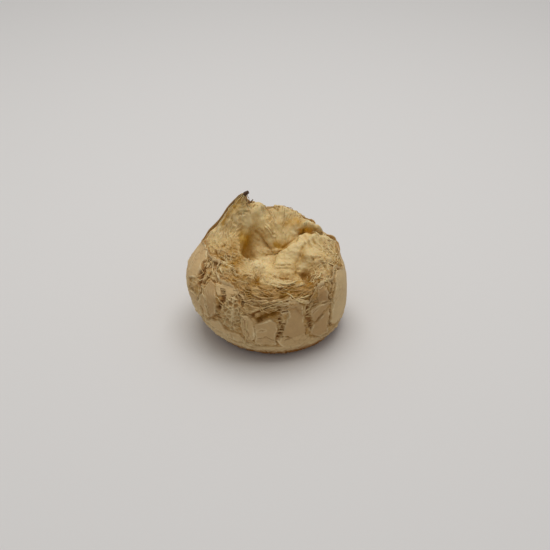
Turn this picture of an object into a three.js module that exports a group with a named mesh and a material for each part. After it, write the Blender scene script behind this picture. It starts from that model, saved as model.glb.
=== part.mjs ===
// Pao de queijo: one round cheese bread, baked until its top tore open into a folded crater.
// Millimetres, +Z up. The origin is the middle of the bounding box, on the surface it rests on.
// An azimuth is in degrees round +Z: 0 is +X, to the right; 90 is +Y, to the back; 270 is the front.
import * as THREE from "three";
import { mergeVertices } from "three/addons/utils/BufferGeometryUtils.js";

// ---------------------------------------------------------------- driving sizes

const BELLY_RADIUS = 34.7; // mean radius at the widest ring
const BELLY_OVAL = 2.6; // the belly is wider from side to side than from front to back
const BELLY_HEIGHT = 21.5;
const FOOT_RADIUS = 20.8; // the flat spot it was baked on
const CREST_RADIUS = 18.4; // the rolled edge round the crater
const CREST_HEIGHT = 43.4;
const CREST_TILT = 7.2; // the back of the crest stands higher, and the front lower, by this much
const FLOOR_RADIUS = 5.0; // the bottom of the crater
const FLOOR_HEIGHT = 31.5;

// The middle of the foot, the belly and the crater: the roll leans, so they are not above each other.
const FOOT_MIDDLE = new THREE.Vector2(8.5, -1.5);
const BELLY_MIDDLE = new THREE.Vector2(0.0, 0.5);
const CRATER_MIDDLE = new THREE.Vector2(4.5, 1.8);

// Where along a profile, from the pole under the foot to the pole in the crater, each stretch ends.
const FOOT_END = 0.12;
const BELLY_END = 0.36;
const CREST_END = 0.72;
const WALL_END = 0.93;

const COLUMNS = 84; // facets round the axis
const ROWS = 55; // facets along a profile, the foot's own among them
const FINE_STEPS = 400; // steps that a profile's length is measured in

// Folds, lumps and hollows, in the order they are made. Each is a path in the roll, the reach of its pull
// across the path, how far it drags the surface, and how square the pull is: 2 fades softly, and 3 carries a
// flat patch with steep sides.
const FOLDS = [
  { name: "shoulder of the peak", reach: 6.5, drag: [1, 0.5, 2.6], square: 2,
    path: [[-16, 10, 46], [-13, 13, 50], [-9, 15, 51]] },
  { name: "peak", reach: 4.6, drag: [1.2, 0.5, 5.5], square: 2,
    path: [[-16, 11, 51], [-12.5, 13, 53]] },
  { name: "tip of the peak", reach: 2.2, drag: [2.8, -0.4, 4.8], square: 2,
    path: [[-13.8, 13, 58], [-12.2, 13.2, 58]] },
  { name: "notch beside the tip", reach: 2.4, drag: [0.2, 0, -2.6], square: 2,
    path: [[-7.2, 9, 59.5], [-6.6, 16, 58.5]] },
  { name: "tongue", reach: 6.5, drag: [1.5, -7.5, -3], square: 3,
    path: [[2, 18, 46], [4, 17, 42]] },
  { name: "right side of the tongue", reach: 5, drag: [-1, -4, -1], square: 2,
    path: [[12, 15, 43], [12, 13, 38]] },
  { name: "root of the tongue", reach: 4.8, drag: [0.8, -4, 0.4], square: 2,
    path: [[3, 10, 34.5], [10, 10, 33.5]] },
  { name: "cavity", reach: 5, drag: [-4.6, 0.5, -6], square: 3,
    path: [[-9, 12, 45], [-8.5, 5, 41], [-8, -2, 38]] },
  { name: "ramp", reach: 6, drag: [-3.5, 2, 5], square: 3,
    path: [[24, 8, 42], [19, 3, 39], [11, -4, 34]] },
  { name: "foot of the ramp", reach: 4, drag: [-1, 0.8, 3.4], square: 2,
    path: [[12, 1, 38], [8, 1.5, 36], [5, 2, 34.5]] },
  { name: "bottom of the crater", reach: 5, drag: [0, -0.8, 3.2], square: 3,
    path: [[-1, 4, 33], [6, 4, 34]] },
  { name: "chin of the tongue", reach: 3.4, drag: [0.6, -2.6, -2.6], square: 2,
    path: [[3, 6.5, 41.5], [8, 6.5, 41.5]] },
  { name: "floor", reach: 5.5, drag: [-0.5, 1, 2.5], square: 2,
    path: [[-5, -6, 33], [4, -7, 33]] },
  { name: "dip before the floor", reach: 3, drag: [0, 0.3, -2.2], square: 2,
    path: [[-2, -13, 36], [8, -14.5, 35], [15, -13, 36]] },
  { name: "pocket", reach: 2.6, drag: [0.2, 0.9, -5.2], square: 2,
    path: [[16.5, 11.2, 45], [19.5, 10.6, 46.5], [24, 10, 45]] },
  { name: "ridge behind the pocket", reach: 1.8, drag: [0, -1.2, 1.6], square: 2,
    path: [[13.5, 13.5, 44], [18.3, 14.8, 45], [23.5, 13.5, 44]] },
  { name: "pit", reach: 3, drag: [-0.5, 1.5, -4], square: 2,
    path: [[18, -12, 37], [18.5, -15, 36]] },
  { name: "mound", reach: 3.5, drag: [0, -0.5, 2.8], square: 2,
    path: [[19, -4, 39], [24, -6, 39]] },
  { name: "front lip", reach: 2.6, drag: [0, -0.8, 1.2], square: 2,
    path: [[-8, -18, 37], [0, -19.5, 36.5], [10, -19.5, 36]] },
  { name: "notch in the back rim", reach: 2.2, drag: [0, 0, -2], square: 2,
    path: [[0, 14, 52], [0, 20, 51]] },
  { name: "knob on the back rim", reach: 2.4, drag: [0, 0, 1.4], square: 2,
    path: [[4, 18, 52], [8, 18.5, 52]] },
  { name: "knob on the right", reach: 3, drag: [1, 0.5, 1], square: 2,
    path: [[30, 9, 39], [32, 6, 38]] },
];
const LONGEST_STEP = 0.5; // of the reach: in steps this short, a drag never pulls the surface through itself

const CRUST = new THREE.MeshStandardMaterial({ color: 0xd8b988, roughness: 0.85, metalness: 0 });

// ---------------------------------------------------------------- the section at one azimuth

const radians = THREE.MathUtils.degToRad;

// 1 at the centre azimuth, falling smoothly to 0 over about two widths on each side.
function hump(azimuth, centre, width) {
  return Math.exp((Math.cos(radians(azimuth - centre)) - 1) / radians(width) ** 2);
}

// A wave round the axis: 1 at the azimuth where it peaks, and again every 360 / count degrees.
function wave(azimuth, count, peak) {
  return Math.cos(count * radians(azimuth - peak));
}

// The radii and heights that a profile passes through at this azimuth.
function section(azimuth) {
  const right = wave(azimuth, 1, 0);
  const back = wave(azimuth, 1, 90);
  return {
    footRadius:
      FOOT_RADIUS +
      0.6 * wave(azimuth, 2, 40) +
      2.2 * hump(azimuth, 302, 32) +
      0.8 * hump(azimuth, 225, 30),
    bellyRadius:
      BELLY_RADIUS +
      BELLY_OVAL * wave(azimuth, 2, 0) +
      0.6 * wave(azimuth, 3, 20) -
      0.6 * hump(azimuth, 20, 20),
    bellyHeight: BELLY_HEIGHT - 4.5 * right + 2.0 * back + 3.0 * hump(azimuth, 225, 40),
    crestRadius: CREST_RADIUS + 1.9 * right - 0.6 * back + 0.4 * wave(azimuth, 2, 20),
    crestHeight:
      CREST_HEIGHT +
      CREST_TILT * back -
      2.4 * right +
      5.0 * hump(azimuth, 142, 22) +
      1.0 * hump(azimuth, 80, 22) -
      1.8 * hump(azimuth, 35, 24),
    // How the lower wall tapers to the foot: above 1, it is cut in towards the foot.
    taper: 0.95 - 0.15 * right + 0.3 * hump(azimuth, 225, 40),
    // How the upper wall bows: below 1 it is boxy, at 1 an ellipse, and towards 2 a straight slope.
    bow:
      0.9 -
      0.1 * right +
      0.36 * hump(azimuth, 150, 34) -
      0.26 * hump(azimuth, 272, 50) +
      0.36 * hump(azimuth, 28, 36),
  };
}

const share = (v, from, to) => THREE.MathUtils.clamp((v - from) / (to - from), 0, 1);

// The middle of the ring at v: it drifts from the foot's to the belly's, and then to the crater's.
function ringMiddle(v) {
  const low = 1 - (1 - share(v, 0, BELLY_END)) ** 2;
  const high = THREE.MathUtils.smoothstep(v, BELLY_END, CREST_END);
  return FOOT_MIDDLE.clone().lerp(BELLY_MIDDLE, low).lerp(CRATER_MIDDLE, high);
}

// A point of the profile at this azimuth, before the folds: the flat foot, a quarter of a superellipse out
// to the belly, another in to the crest, a cosine slope down the crater's wall, and its floor.
function profilePoint(azimuth, s, v) {
  let radius, height;
  if (v <= FOOT_END) {
    radius = s.footRadius * share(v, 0, FOOT_END);
    height = 0;
  } else if (v <= BELLY_END) {
    const q = (share(v, FOOT_END, BELLY_END) * Math.PI) / 2;
    radius = s.footRadius + (s.bellyRadius - s.footRadius) * Math.sin(q) ** s.taper;
    height = s.bellyHeight * (1 - Math.cos(q));
  } else if (v <= CREST_END) {
    const q = (share(v, BELLY_END, CREST_END) * Math.PI) / 2;
    radius = s.crestRadius + (s.bellyRadius - s.crestRadius) * Math.max(Math.cos(q), 0) ** s.bow;
    height = s.bellyHeight + (s.crestHeight - s.bellyHeight) * Math.sin(q) ** s.bow;
  } else {
    const down = share(v, CREST_END, WALL_END);
    const across = share(v, WALL_END, 1);
    radius = (FLOOR_RADIUS + (s.crestRadius - FLOOR_RADIUS) * (1 - down)) * (1 - across);
    height = FLOOR_HEIGHT + ((s.crestHeight - FLOOR_HEIGHT) * (1 + Math.cos(Math.PI * down))) / 2;
  }
  const middle = ringMiddle(v);
  return new THREE.Vector3(
    middle.x + radius * Math.cos(radians(azimuth)),
    middle.y + radius * Math.sin(radians(azimuth)),
    height,
  );
}

// The profile at this azimuth as ROWS + 1 points: the pole under the flat foot, and then even steps of the
// profile's own length from the foot's edge to the pole in the crater.
function evenProfile(azimuth) {
  const s = section(azimuth);
  const fine = Array.from({ length: FINE_STEPS + 1 }, (_, i) =>
    profilePoint(azimuth, s, FOOT_END + ((1 - FOOT_END) * i) / FINE_STEPS),
  );
  const lengths = [0];
  for (let i = 1; i <= FINE_STEPS; i++) lengths.push(lengths[i - 1] + fine[i].distanceTo(fine[i - 1]));
  let k = 0;
  const wall = Array.from({ length: ROWS }, (_, row) => {
    const wanted = (row / (ROWS - 1)) * lengths[FINE_STEPS];
    while (k < FINE_STEPS - 1 && lengths[k + 1] < wanted) k++;
    return fine[k].clone().lerp(fine[k + 1], share(wanted, lengths[k], lengths[k + 1]));
  });
  return [profilePoint(azimuth, s, 0), ...wall];
}

// ---------------------------------------------------------------- folds

// How far a point is from the nearest stretch of a path.
function distanceToPath(point, path) {
  let nearest = Infinity;
  for (let i = 1; i < path.length; i++) {
    const foot = new THREE.Line3(path[i - 1], path[i]).closestPointToPoint(point, true, new THREE.Vector3());
    nearest = Math.min(nearest, foot.distanceTo(point));
  }
  return nearest;
}

// The short steps that a fold is made in: each has the path where the earlier steps have carried it.
function stepsOf({ path, reach, drag, square }) {
  const whole = new THREE.Vector3(...drag);
  const count = Math.ceil(whole.length() / (LONGEST_STEP * reach));
  return Array.from({ length: count }, (_, k) => ({
    path: path.map((corner) => new THREE.Vector3(...corner).addScaledVector(whole, k / count)),
    move: whole.clone().divideScalar(count),
    reach,
    square,
  }));
}

const STEPS = FOLDS.flatMap(stepsOf);

// Carries a point through every step in turn. A step's pull fades away from its path as a bell.
function folded(point) {
  for (const { path, move, reach, square } of STEPS) {
    const pull = Math.exp(-((distanceToPath(point, path) / reach) ** square));
    point.addScaledVector(move, pull);
  }
  return point;
}

// ---------------------------------------------------------------- the solid

// Rings of quads between the two poles, wound so that the faces point out, standing on z = 0.
function rollGeometry() {
  const profiles = Array.from({ length: COLUMNS }, (_, i) => evenProfile((i / COLUMNS) * 360).map(folded));
  const corners = [];
  for (let i = 0; i < COLUMNS; i++) {
    const [a, b] = [profiles[i], profiles[(i + 1) % COLUMNS]];
    for (let row = 0; row < ROWS; row++) {
      if (row > 0) corners.push(a[row], b[row], b[row + 1]);
      if (row < ROWS - 1) corners.push(a[row], b[row + 1], a[row + 1]);
    }
  }
  const loose = new THREE.BufferGeometry().setFromPoints(corners);
  loose.computeBoundingBox();
  const middle = loose.boundingBox.getCenter(new THREE.Vector3());
  loose.translate(-middle.x, -middle.y, -loose.boundingBox.min.z);
  const closed = mergeVertices(loose, 1e-3);
  closed.computeVertexNormals();
  return closed;
}

const roll = new THREE.Mesh(rollGeometry(), CRUST);
roll.name = "bread";

const part = new THREE.Group();
part.add(roll);

export default part;
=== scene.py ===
# %% [markdown]
# # Pao de queijo
#
# A pao de queijo is a small Brazilian cheese bread of tapioca starch, egg and cheese. Its dough has no
# gluten net to stretch evenly, so steam tears it open: the thin skin cracks into plates, and the top bursts
# into a crater of soft, stringy crumb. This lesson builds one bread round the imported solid, in three layers:
# the form that the solid has, the crust with its cracked plates, and the torn crumb with its strands.
#
# All shapes are worked out in millimetres with numpy, as whole arrays, and turned into metres at the end.

# %% Load the frame
import itertools

import bpy
import numpy as np
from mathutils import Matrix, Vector


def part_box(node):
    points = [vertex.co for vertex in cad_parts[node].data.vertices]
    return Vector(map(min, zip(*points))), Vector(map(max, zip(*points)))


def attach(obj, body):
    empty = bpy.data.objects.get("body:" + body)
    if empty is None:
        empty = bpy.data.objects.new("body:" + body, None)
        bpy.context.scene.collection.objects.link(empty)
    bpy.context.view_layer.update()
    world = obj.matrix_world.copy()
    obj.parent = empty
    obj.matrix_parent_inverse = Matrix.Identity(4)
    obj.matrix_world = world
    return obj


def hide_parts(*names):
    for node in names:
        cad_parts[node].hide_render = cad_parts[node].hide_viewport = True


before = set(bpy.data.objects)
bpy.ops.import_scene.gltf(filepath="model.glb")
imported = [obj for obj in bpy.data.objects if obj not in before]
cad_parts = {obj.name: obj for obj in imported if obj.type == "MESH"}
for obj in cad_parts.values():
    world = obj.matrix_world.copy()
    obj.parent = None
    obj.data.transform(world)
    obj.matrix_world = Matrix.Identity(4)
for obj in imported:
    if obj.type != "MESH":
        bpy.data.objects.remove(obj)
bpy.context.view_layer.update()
bread_low, bread_high = (np.array(corner) * 1000 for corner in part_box("bread"))

# %% [markdown]
# ## Random relief that is the same every time
#
# Baked dough is uneven at every scale. Blender has noise textures for colour, but a shape needs the same
# kind of noise as numbers for each vertex. It could come from Blender's own noise module, one vertex at a
# time, which is slow for a few hundred thousand vertices. Hashing whole-numbered cells gives random numbers
# for whole arrays at once, and always the same ones, with no seed to forget.

# %% Noise for whole arrays
PRIMES = (73856093, 19349663, 83492791)
SEED_PRIME = 26544357
MIXER = 1274126177
LAYER_SEEDS = 31  # how far apart the seeds of two layers of noise are
RIDGE_STEEPNESS = 3.2
TINY = 1e-9  # keeps a division from being by nothing


def cell_random(cell, seed):
    """A number from 0 to 1 for each whole-numbered cell: its x, y and z and the seed are each multiplied by
    a large prime, combined bit by bit, and mixed once more."""
    mixed = np.full(cell.shape[:-1], seed * SEED_PRIME, np.int64)
    for axis, prime in enumerate(PRIMES):
        mixed ^= cell[..., axis].astype(np.int64) * prime
    mixed = (mixed ^ (mixed >> 13)) * MIXER & 0xFFFFFFFF
    return ((mixed ^ (mixed >> 15)) & 0xFFFFFF) / 0x1000000


def fade(part):
    """0 below 0, 1 above 1, and 3x^2 - 2x^3 between, so that it starts and ends level."""
    part = np.clip(part, 0, 1)
    return part * part * (3 - 2 * part)


def bell(distance, width):
    """1 at no distance, falling smoothly to 0 on both sides: e to the power of -(distance over width)^2."""
    return np.exp(-((distance / width) ** 2))


def noise(place, size, seed=0):
    """Smooth relief from -1 to 1: the random numbers at the eight corners of the cell round each place,
    blended by how near each corner is. Size is a number, or one number for each axis."""
    grid = place / np.asarray(size, float)
    cell = np.floor(grid)
    near_next = fade(grid - cell)
    total = np.zeros(place.shape[:-1])
    for corner in itertools.product((0, 1), repeat=3):
        weight = np.where(np.array(corner) == 1, near_next, 1 - near_next).prod(axis=-1)
        total += weight * cell_random(cell + corner, seed)
    return 2 * total - 1


def layered(place, size, seed=0, layers=3):
    """Noise, plus the same at half the size and half the height, and so on."""
    return sum(noise(place, np.asarray(size) / 2**k, seed + LAYER_SEEDS * k) / 2**k for k in range(layers))


def ridges(place, size, seed=0):
    """Thin crests along the lines where the noise passes zero: 1 on the line, falling to 0 beside it."""
    return np.clip(1 - RIDGE_STEEPNESS * np.abs(noise(place, size, seed)), 0, 1)


def bubbles(place, size, seed=0):
    """Points scattered one to a cell, as if a bubble grew from each. Returns how far each place is from the
    wall between two bubbles, which is the second nearest point's distance less the nearest's, in cells, so 0
    on the walls; and a random number from 0 to 1 for the bubble that the place is in."""
    grid = place / np.asarray(size, float)
    cell = np.floor(grid)
    nearest = np.full(grid.shape[:-1], 9.0)
    second = nearest.copy()
    own = np.zeros_like(nearest)
    for step in itertools.product((-1, 0, 1), repeat=3):
        home = cell + step
        point = home + np.stack([cell_random(home, seed + axis) for axis in range(3)], axis=-1)
        distance = np.linalg.norm(grid - point, axis=-1)
        closer = distance < nearest
        second = np.where(closer, nearest, np.minimum(second, distance))
        own = np.where(closer, cell_random(home, seed + 3), own)
        nearest = np.minimum(nearest, distance)
    return second - nearest, own


print("noise at the origin's neighbour:", noise(np.array([[1.0, 2.0, 3.0]]), 5.0))

# %% [markdown]
# ## The form
#
# The roll is a stack of rings round a leaning axis, from the flat foot out to the belly, in to the crest,
# and down into the crater. It could be sculpted by hand, but a lesson can't be followed by hand, and the
# solid is made by these same formulas, so the looks and the solid can't drift apart. At each azimuth a few
# radii and heights say where the profile passes, and superellipse arcs join them.

# %% Sizes of the form, in millimetres
# These change round the bread. Each is a mean, its waves as (height, count, azimuth of the peak), and its
# humps as (height, azimuth of the middle, width in degrees).
FOOT_RADIUS = (20.8, [(0.6, 2, 40)], [(2.2, 302, 32), (0.8, 225, 30)])
BELLY_RADIUS = (34.7, [(2.6, 2, 0), (0.6, 3, 20)], [(-0.6, 20, 20)])
BELLY_HEIGHT = (21.5, [(-4.5, 1, 0), (2.0, 1, 90)], [(3.0, 225, 40)])
CREST_RADIUS = (18.4, [(1.9, 1, 0), (-0.6, 1, 90), (0.4, 2, 20)], [])
CREST_HEIGHT = (43.4, [(7.2, 1, 90), (-2.4, 1, 0)], [(5.0, 142, 22), (1.0, 80, 22), (-1.8, 35, 24)])
# And so do the powers that bend the arcs below and above the belly: under 1 is fuller, over 1 is flatter.
TAPER = (0.95, [(-0.15, 1, 0)], [(0.3, 225, 40)])
BOW = (0.9, [(-0.1, 1, 0)], [(0.36, 150, 34), (-0.26, 272, 50), (0.36, 28, 36)])
FLOOR_RADIUS = 5.0
FLOOR_HEIGHT = 31.5
FOOT_MIDDLE = np.array([8.5, -1.5])
BELLY_MIDDLE = np.array([0.0, 0.5])
CRATER_MIDDLE = np.array([4.5, 1.8])
FOOT_END, BELLY_END, CREST_END, WALL_END = 0.12, 0.36, 0.72, 0.93


def hump(azimuth, centre, width):
    """1 at the centre azimuth, falling smoothly to 0: e to the power of (cosine - 1) over width squared."""
    return np.exp((np.cos(np.radians(azimuth - centre)) - 1) / np.radians(width) ** 2)


def wave(azimuth, count, peak):
    """A cosine that is 1 at the peak azimuth, and comes round count times."""
    return np.cos(count * np.radians(azimuth - peak))


def round_bread(azimuth, size):
    """A size that changes round the bread, at these azimuths: its mean plus its waves and its humps."""
    mean, waves, humps = size
    total = mean + 0 * azimuth
    for height, count, peak in waves:
        total = total + height * wave(azimuth, count, peak)
    for height, centre, width in humps:
        total = total + height * hump(azimuth, centre, width)
    return total


def share(value, start, end):
    """How far value has come from start to end, from 0 to 1."""
    return np.clip((value - start) / (end - start), 0, 1)


def unfolded(azimuth, v):
    """The surface before the folds, at an azimuth in degrees and at v from the pole under the foot, 0, to
    the pole in the crater, 1: the ring's middle plus its radius round the axis, at its height."""
    foot, belly, crest = (round_bread(azimuth, size) for size in (FOOT_RADIUS, BELLY_RADIUS, CREST_RADIUS))
    belly_height, crest_height = (round_bread(azimuth, size) for size in (BELLY_HEIGHT, CREST_HEIGHT))
    taper, bow = (round_bread(azimuth, size) for size in (TAPER, BOW))

    low = share(v, FOOT_END, BELLY_END) * np.pi / 2
    high = share(v, BELLY_END, CREST_END) * np.pi / 2
    down = share(v, CREST_END, WALL_END)
    radius = foot * share(v, 0, FOOT_END) + (belly - foot) * np.sin(low) ** taper
    radius -= (belly - crest) * (1 - np.maximum(np.cos(high), 0) ** bow)
    radius -= (crest - FLOOR_RADIUS) * down
    radius *= 1 - share(v, WALL_END, 1)
    height = belly_height * (1 - np.cos(low)) + (crest_height - belly_height) * np.sin(high) ** bow
    height -= (crest_height - FLOOR_HEIGHT) * (1 - np.cos(np.pi * down)) / 2

    to_belly = (1 - (1 - share(v, 0, BELLY_END)) ** 2)[..., None]
    to_crater = fade(share(v, BELLY_END, CREST_END))[..., None]
    middle = FOOT_MIDDLE + (BELLY_MIDDLE - FOOT_MIDDLE) * to_belly
    middle = middle + (CRATER_MIDDLE - middle) * to_crater
    turn = np.radians(azimuth)
    x = middle[..., 0] + radius * np.cos(turn)
    y = middle[..., 1] + radius * np.sin(turn)
    return np.stack([x, y, height + 0 * x], axis=-1)


print("the crest at the back stands at", unfolded(np.array([90.0]), np.array([CREST_END])).round(1), "mm")

# %% [markdown]
# ## Folds
#
# The burst top isn't smooth: a tongue of crumb hangs from the back wall, a thick fold climbs to the right
# rim, the crust is pulled up into a peak, and steam left a cavity, a pocket and a pit. Separate lumps joined
# by a remesh would look stuck on. Real dough is dragged, so the surface is dragged too: each fold carries
# what lies near a path along with it, in steps so short that the surface can't pass through itself.

# %% The folds, as (path in mm, reach, drag, squareness)
FOLDS = {
    "shoulder of the peak": ([(-16, 10, 46), (-13, 13, 50), (-9, 15, 51)], 6.5, (1, 0.5, 2.6), 2),
    "peak": ([(-16, 11, 51), (-12.5, 13, 53)], 4.6, (1.2, 0.5, 5.5), 2),
    "tip of the peak": ([(-13.8, 13, 58), (-12.2, 13.2, 58)], 2.2, (2.8, -0.4, 4.8), 2),
    "notch beside the tip": ([(-7.2, 9, 59.5), (-6.6, 16, 58.5)], 2.4, (0.2, 0, -2.6), 2),
    "tongue": ([(2, 18, 46), (4, 17, 42)], 6.5, (1.5, -7.5, -3), 3),
    "right side of the tongue": ([(12, 15, 43), (12, 13, 38)], 5, (-1, -4, -1), 2),
    "root of the tongue": ([(3, 10, 34.5), (10, 10, 33.5)], 4.8, (0.8, -4, 0.4), 2),
    "cavity": ([(-9, 12, 45), (-8.5, 5, 41), (-8, -2, 38)], 5, (-4.6, 0.5, -6), 3),
    "ramp": ([(24, 8, 42), (19, 3, 39), (11, -4, 34)], 6, (-3.5, 2, 5), 3),
    "foot of the ramp": ([(12, 1, 38), (8, 1.5, 36), (5, 2, 34.5)], 4, (-1, 0.8, 3.4), 2),
    "bottom of the crater": ([(-1, 4, 33), (6, 4, 34)], 5, (0, -0.8, 3.2), 3),
    "chin of the tongue": ([(3, 6.5, 41.5), (8, 6.5, 41.5)], 3.4, (0.6, -2.6, -2.6), 2),
    "floor": ([(-5, -6, 33), (4, -7, 33)], 5.5, (-0.5, 1, 2.5), 2),
    "dip before the floor": ([(-2, -13, 36), (8, -14.5, 35), (15, -13, 36)], 3, (0, 0.3, -2.2), 2),
    "pocket": ([(16.5, 11.2, 45), (19.5, 10.6, 46.5), (24, 10, 45)], 2.6, (0.2, 0.9, -5.2), 2),
    "ridge behind the pocket": (
        [(13.5, 13.5, 44), (18.3, 14.8, 45), (23.5, 13.5, 44)],
        1.8,
        (0, -1.2, 1.6),
        2,
    ),
    "pit": ([(18, -12, 37), (18.5, -15, 36)], 3, (-0.5, 1.5, -4), 2),
    "mound": ([(19, -4, 39), (24, -6, 39)], 3.5, (0, -0.5, 2.8), 2),
    "front lip": ([(-8, -18, 37), (0, -19.5, 36.5), (10, -19.5, 36)], 2.6, (0, -0.8, 1.2), 2),
    "notch in the back rim": ([(0, 14, 52), (0, 20, 51)], 2.2, (0, 0, -2), 2),
    "knob on the back rim": ([(4, 18, 52), (8, 18.5, 52)], 2.4, (0, 0, 1.4), 2),
    "knob on the right": ([(30, 9, 39), (32, 6, 38)], 3, (1, 0.5, 1), 2),
}
LONGEST_STEP = 0.5  # as a share of the fold's reach


def to_path(place, path):
    """How far each place is from a path of straight stretches, and how far along the path its nearest point
    is, both in mm: on each stretch that is the place's foot, kept between the stretch's ends."""
    path = np.asarray(path, float)
    nearest = np.full(place.shape[:-1], np.inf)
    along = np.zeros(place.shape[:-1])
    walked = 0.0
    for start, end in zip(path[:-1], path[1:]):
        stretch = end - start
        length = np.linalg.norm(stretch)
        part = np.clip((place - start) @ stretch / length**2, 0, 1)
        distance = np.linalg.norm(place - start - part[..., None] * stretch, axis=-1)
        along = np.where(distance < nearest, walked + part * length, along)
        nearest = np.minimum(nearest, distance)
        walked += length
    return nearest, along


def folded(place):
    """Each fold in turn adds its drag times e to the power of -(distance over reach) ^ squareness, in steps
    of at most half its reach, with its path carried along."""
    for path, reach, drag, square in FOLDS.values():
        drag = np.array(drag, float)
        steps = int(np.ceil(np.linalg.norm(drag) / (LONGEST_STEP * reach)))
        for k in range(steps):
            distance, _ = to_path(place, np.array(path) + drag * k / steps)
            place = place + np.exp(-((distance / reach) ** square))[..., None] * drag / steps
    return place


drags = {name: float(np.linalg.norm(drag)) for name, (_, _, drag, _) in FOLDS.items()}
farthest = max(drags, key=drags.get)
print(len(FOLDS), "folds; the farthest drag is that of the", farthest, "by", round(drags[farthest], 1), "mm")

# %% [markdown]
# ## Finding a spot on the bread
#
# Everything below needs to say where it is on the bread as a baker would: how far round, and how far down
# from the crest along the skin. The profiles are measured once, in fine steps, and any such pair is looked
# up between them. Plain x, y and z would need a new search for every crack, and would move off the skin when
# a size changes.

# %% Look up places by azimuth and millimetres below the crest
MEASURING_STEPS = 500
MEASURED_COLUMNS = 480
COLUMN_STEP = 360 / MEASURED_COLUMNS
COLUMN_OFFSET = 1000.0  # longer than any profile, so that all of them fit in one rising list
WHOLE_ROWS = 321
measured_azimuths = np.arange(MEASURED_COLUMNS) * COLUMN_STEP
fine_v = np.linspace(0, 1, MEASURING_STEPS + 1)[:, None]
profiles = unfolded(measured_azimuths + 0 * fine_v, fine_v + 0 * measured_azimuths)
walked = np.cumsum(np.linalg.norm(np.diff(profiles, axis=0), axis=-1), axis=0)
walked = np.vstack([np.zeros(MEASURED_COLUMNS), walked])
crest_at = walked[round(CREST_END * MEASURING_STEPS)]
foot_depths = crest_at - walked[round(FOOT_END * MEASURING_STEPS)]
pole_depths = walked[-1] - crest_at
rising_list = (walked + COLUMN_OFFSET * np.arange(MEASURED_COLUMNS)).T.ravel()


def along_profile(column, below):
    """Places on these measured columns at these distances below the crest. Each is blended from the two fine
    steps that it lies between, which one search in the rising list finds for all of them."""
    wanted = np.clip(crest_at[column] - below, 0, walked[-1, column] * (1 - TINY))
    found = np.searchsorted(rising_list, (wanted + COLUMN_OFFSET * column).ravel(), side="right") - 1
    step = np.clip(found.reshape(wanted.shape) - column * (MEASURING_STEPS + 1), 0, MEASURING_STEPS - 1)
    start, end = walked[step, column], walked[step + 1, column]
    part = ((wanted - start) / np.maximum(end - start, TINY))[..., None]
    return profiles[step, column] * (1 - part) + profiles[step + 1, column] * part


def on_form(azimuth, below):
    """Places on the folded form, blended between the two measured columns beside each azimuth."""
    azimuth, below = np.broadcast_arrays(np.asarray(azimuth, float) % 360, np.asarray(below, float))
    column = np.floor(azimuth / COLUMN_STEP).astype(int) % MEASURED_COLUMNS
    part = (azimuth / COLUMN_STEP - np.floor(azimuth / COLUMN_STEP))[..., None]
    after = (column + 1) % MEASURED_COLUMNS
    return folded(along_profile(column, below) * (1 - part) + along_profile(after, below) * part)


def on_skin(path):
    """The corners of a path of (azimuth, millimetres below the crest), as places on the folded form."""
    return on_form(*np.array(path, float).T)


def around(azimuths, values):
    """Values known for the measured columns, at any azimuths."""
    return np.interp(azimuths, measured_azimuths, values, period=360)


whole = folded(unfolded(*np.meshgrid(measured_azimuths, np.linspace(0, 1, WHOLE_ROWS))))
form_low, form_high = whole.reshape(-1, 3).min(axis=0), whole.reshape(-1, 3).max(axis=0)
TO_FRAME = (bread_low + bread_high) / 2 - (form_low + form_high) / 2
TO_FRAME[2] = bread_low[2] - form_low[2]
print("the form measures", np.round(form_high - form_low, 1), "mm, and moves by", TO_FRAME.round(2))
print("from crest to crater floor:", pole_depths.min().round(), "to", pole_depths.max().round(), "mm")

# %% Rings of the bread as space for noise, and the skin as a flat map
MEAN_RADIUS = 32.0
MM_PER_DEGREE = np.pi / 180 * MEAN_RADIUS
MAP_CUT = 100.0  # the azimuth, at the back, where the flat map of the skin is cut open
COLUMN_DENSITY = (1.0, [], [(1.2, 142, 16), (0.8, 255, 55)])  # more columns at the peak and the torn front


def on_ring(azimuth, below, along, across):
    """A place for noise whose grain runs round the bread: the azimuth as a circle, so that it has no seam,
    with one unit every `along` mm round the bread and every `across` mm down it."""
    turn = np.radians(azimuth)
    ring = MEAN_RADIUS / along
    return np.stack([ring * np.cos(turn), ring * np.sin(turn), below / across], axis=-1)


def noise_round(azimuths, size, seed):
    """Noise along a line round the bread, which changes every `size` mm."""
    return noise(on_ring(azimuths, 0 * azimuths, size, 1), 1.0, seed)


def flat_map(azimuth, below):
    """The skin rolled out flat, in mm: x is the way round from the cut, and y is the way down."""
    round_it = ((np.asarray(azimuth, float) - MAP_CUT) % 360 + MAP_CUT) * MM_PER_DEGREE
    return np.stack(np.broadcast_arrays(round_it, np.asarray(below, float)), axis=-1)


def on_map(path):
    """The corners of a path of (azimuth, millimetres below the crest), on the flat map."""
    return flat_map(*np.array(path, float).T)


def columns_of(count):
    """Azimuths round the form, closer together where the density is higher: equal steps of the running sum
    of the density, found in tenths of a degree and looked up backwards."""
    fine = np.linspace(0, 360, 360 * 10 + 1)
    density = round_bread(fine, COLUMN_DENSITY)
    summed = np.concatenate([[0], np.cumsum((density[1:] + density[:-1]) / 2)])
    return np.interp(np.arange(count) / count * summed[-1], summed, fine)


def normals_of(places):
    """Unit normals, pointing out, of a grid whose rows go down and whose columns go round: the cross product
    of the step to the next row and the step to the next column."""
    down = np.gradient(places, axis=0)
    round_it = (np.roll(places, -1, axis=1) - np.roll(places, 1, axis=1)) / 2
    normal = np.cross(down, round_it)
    return normal / np.maximum(np.linalg.norm(normal, axis=-1, keepdims=True), TINY)


print("one degree round the bread is about", round(float(MM_PER_DEGREE), 2), "mm")

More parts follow.
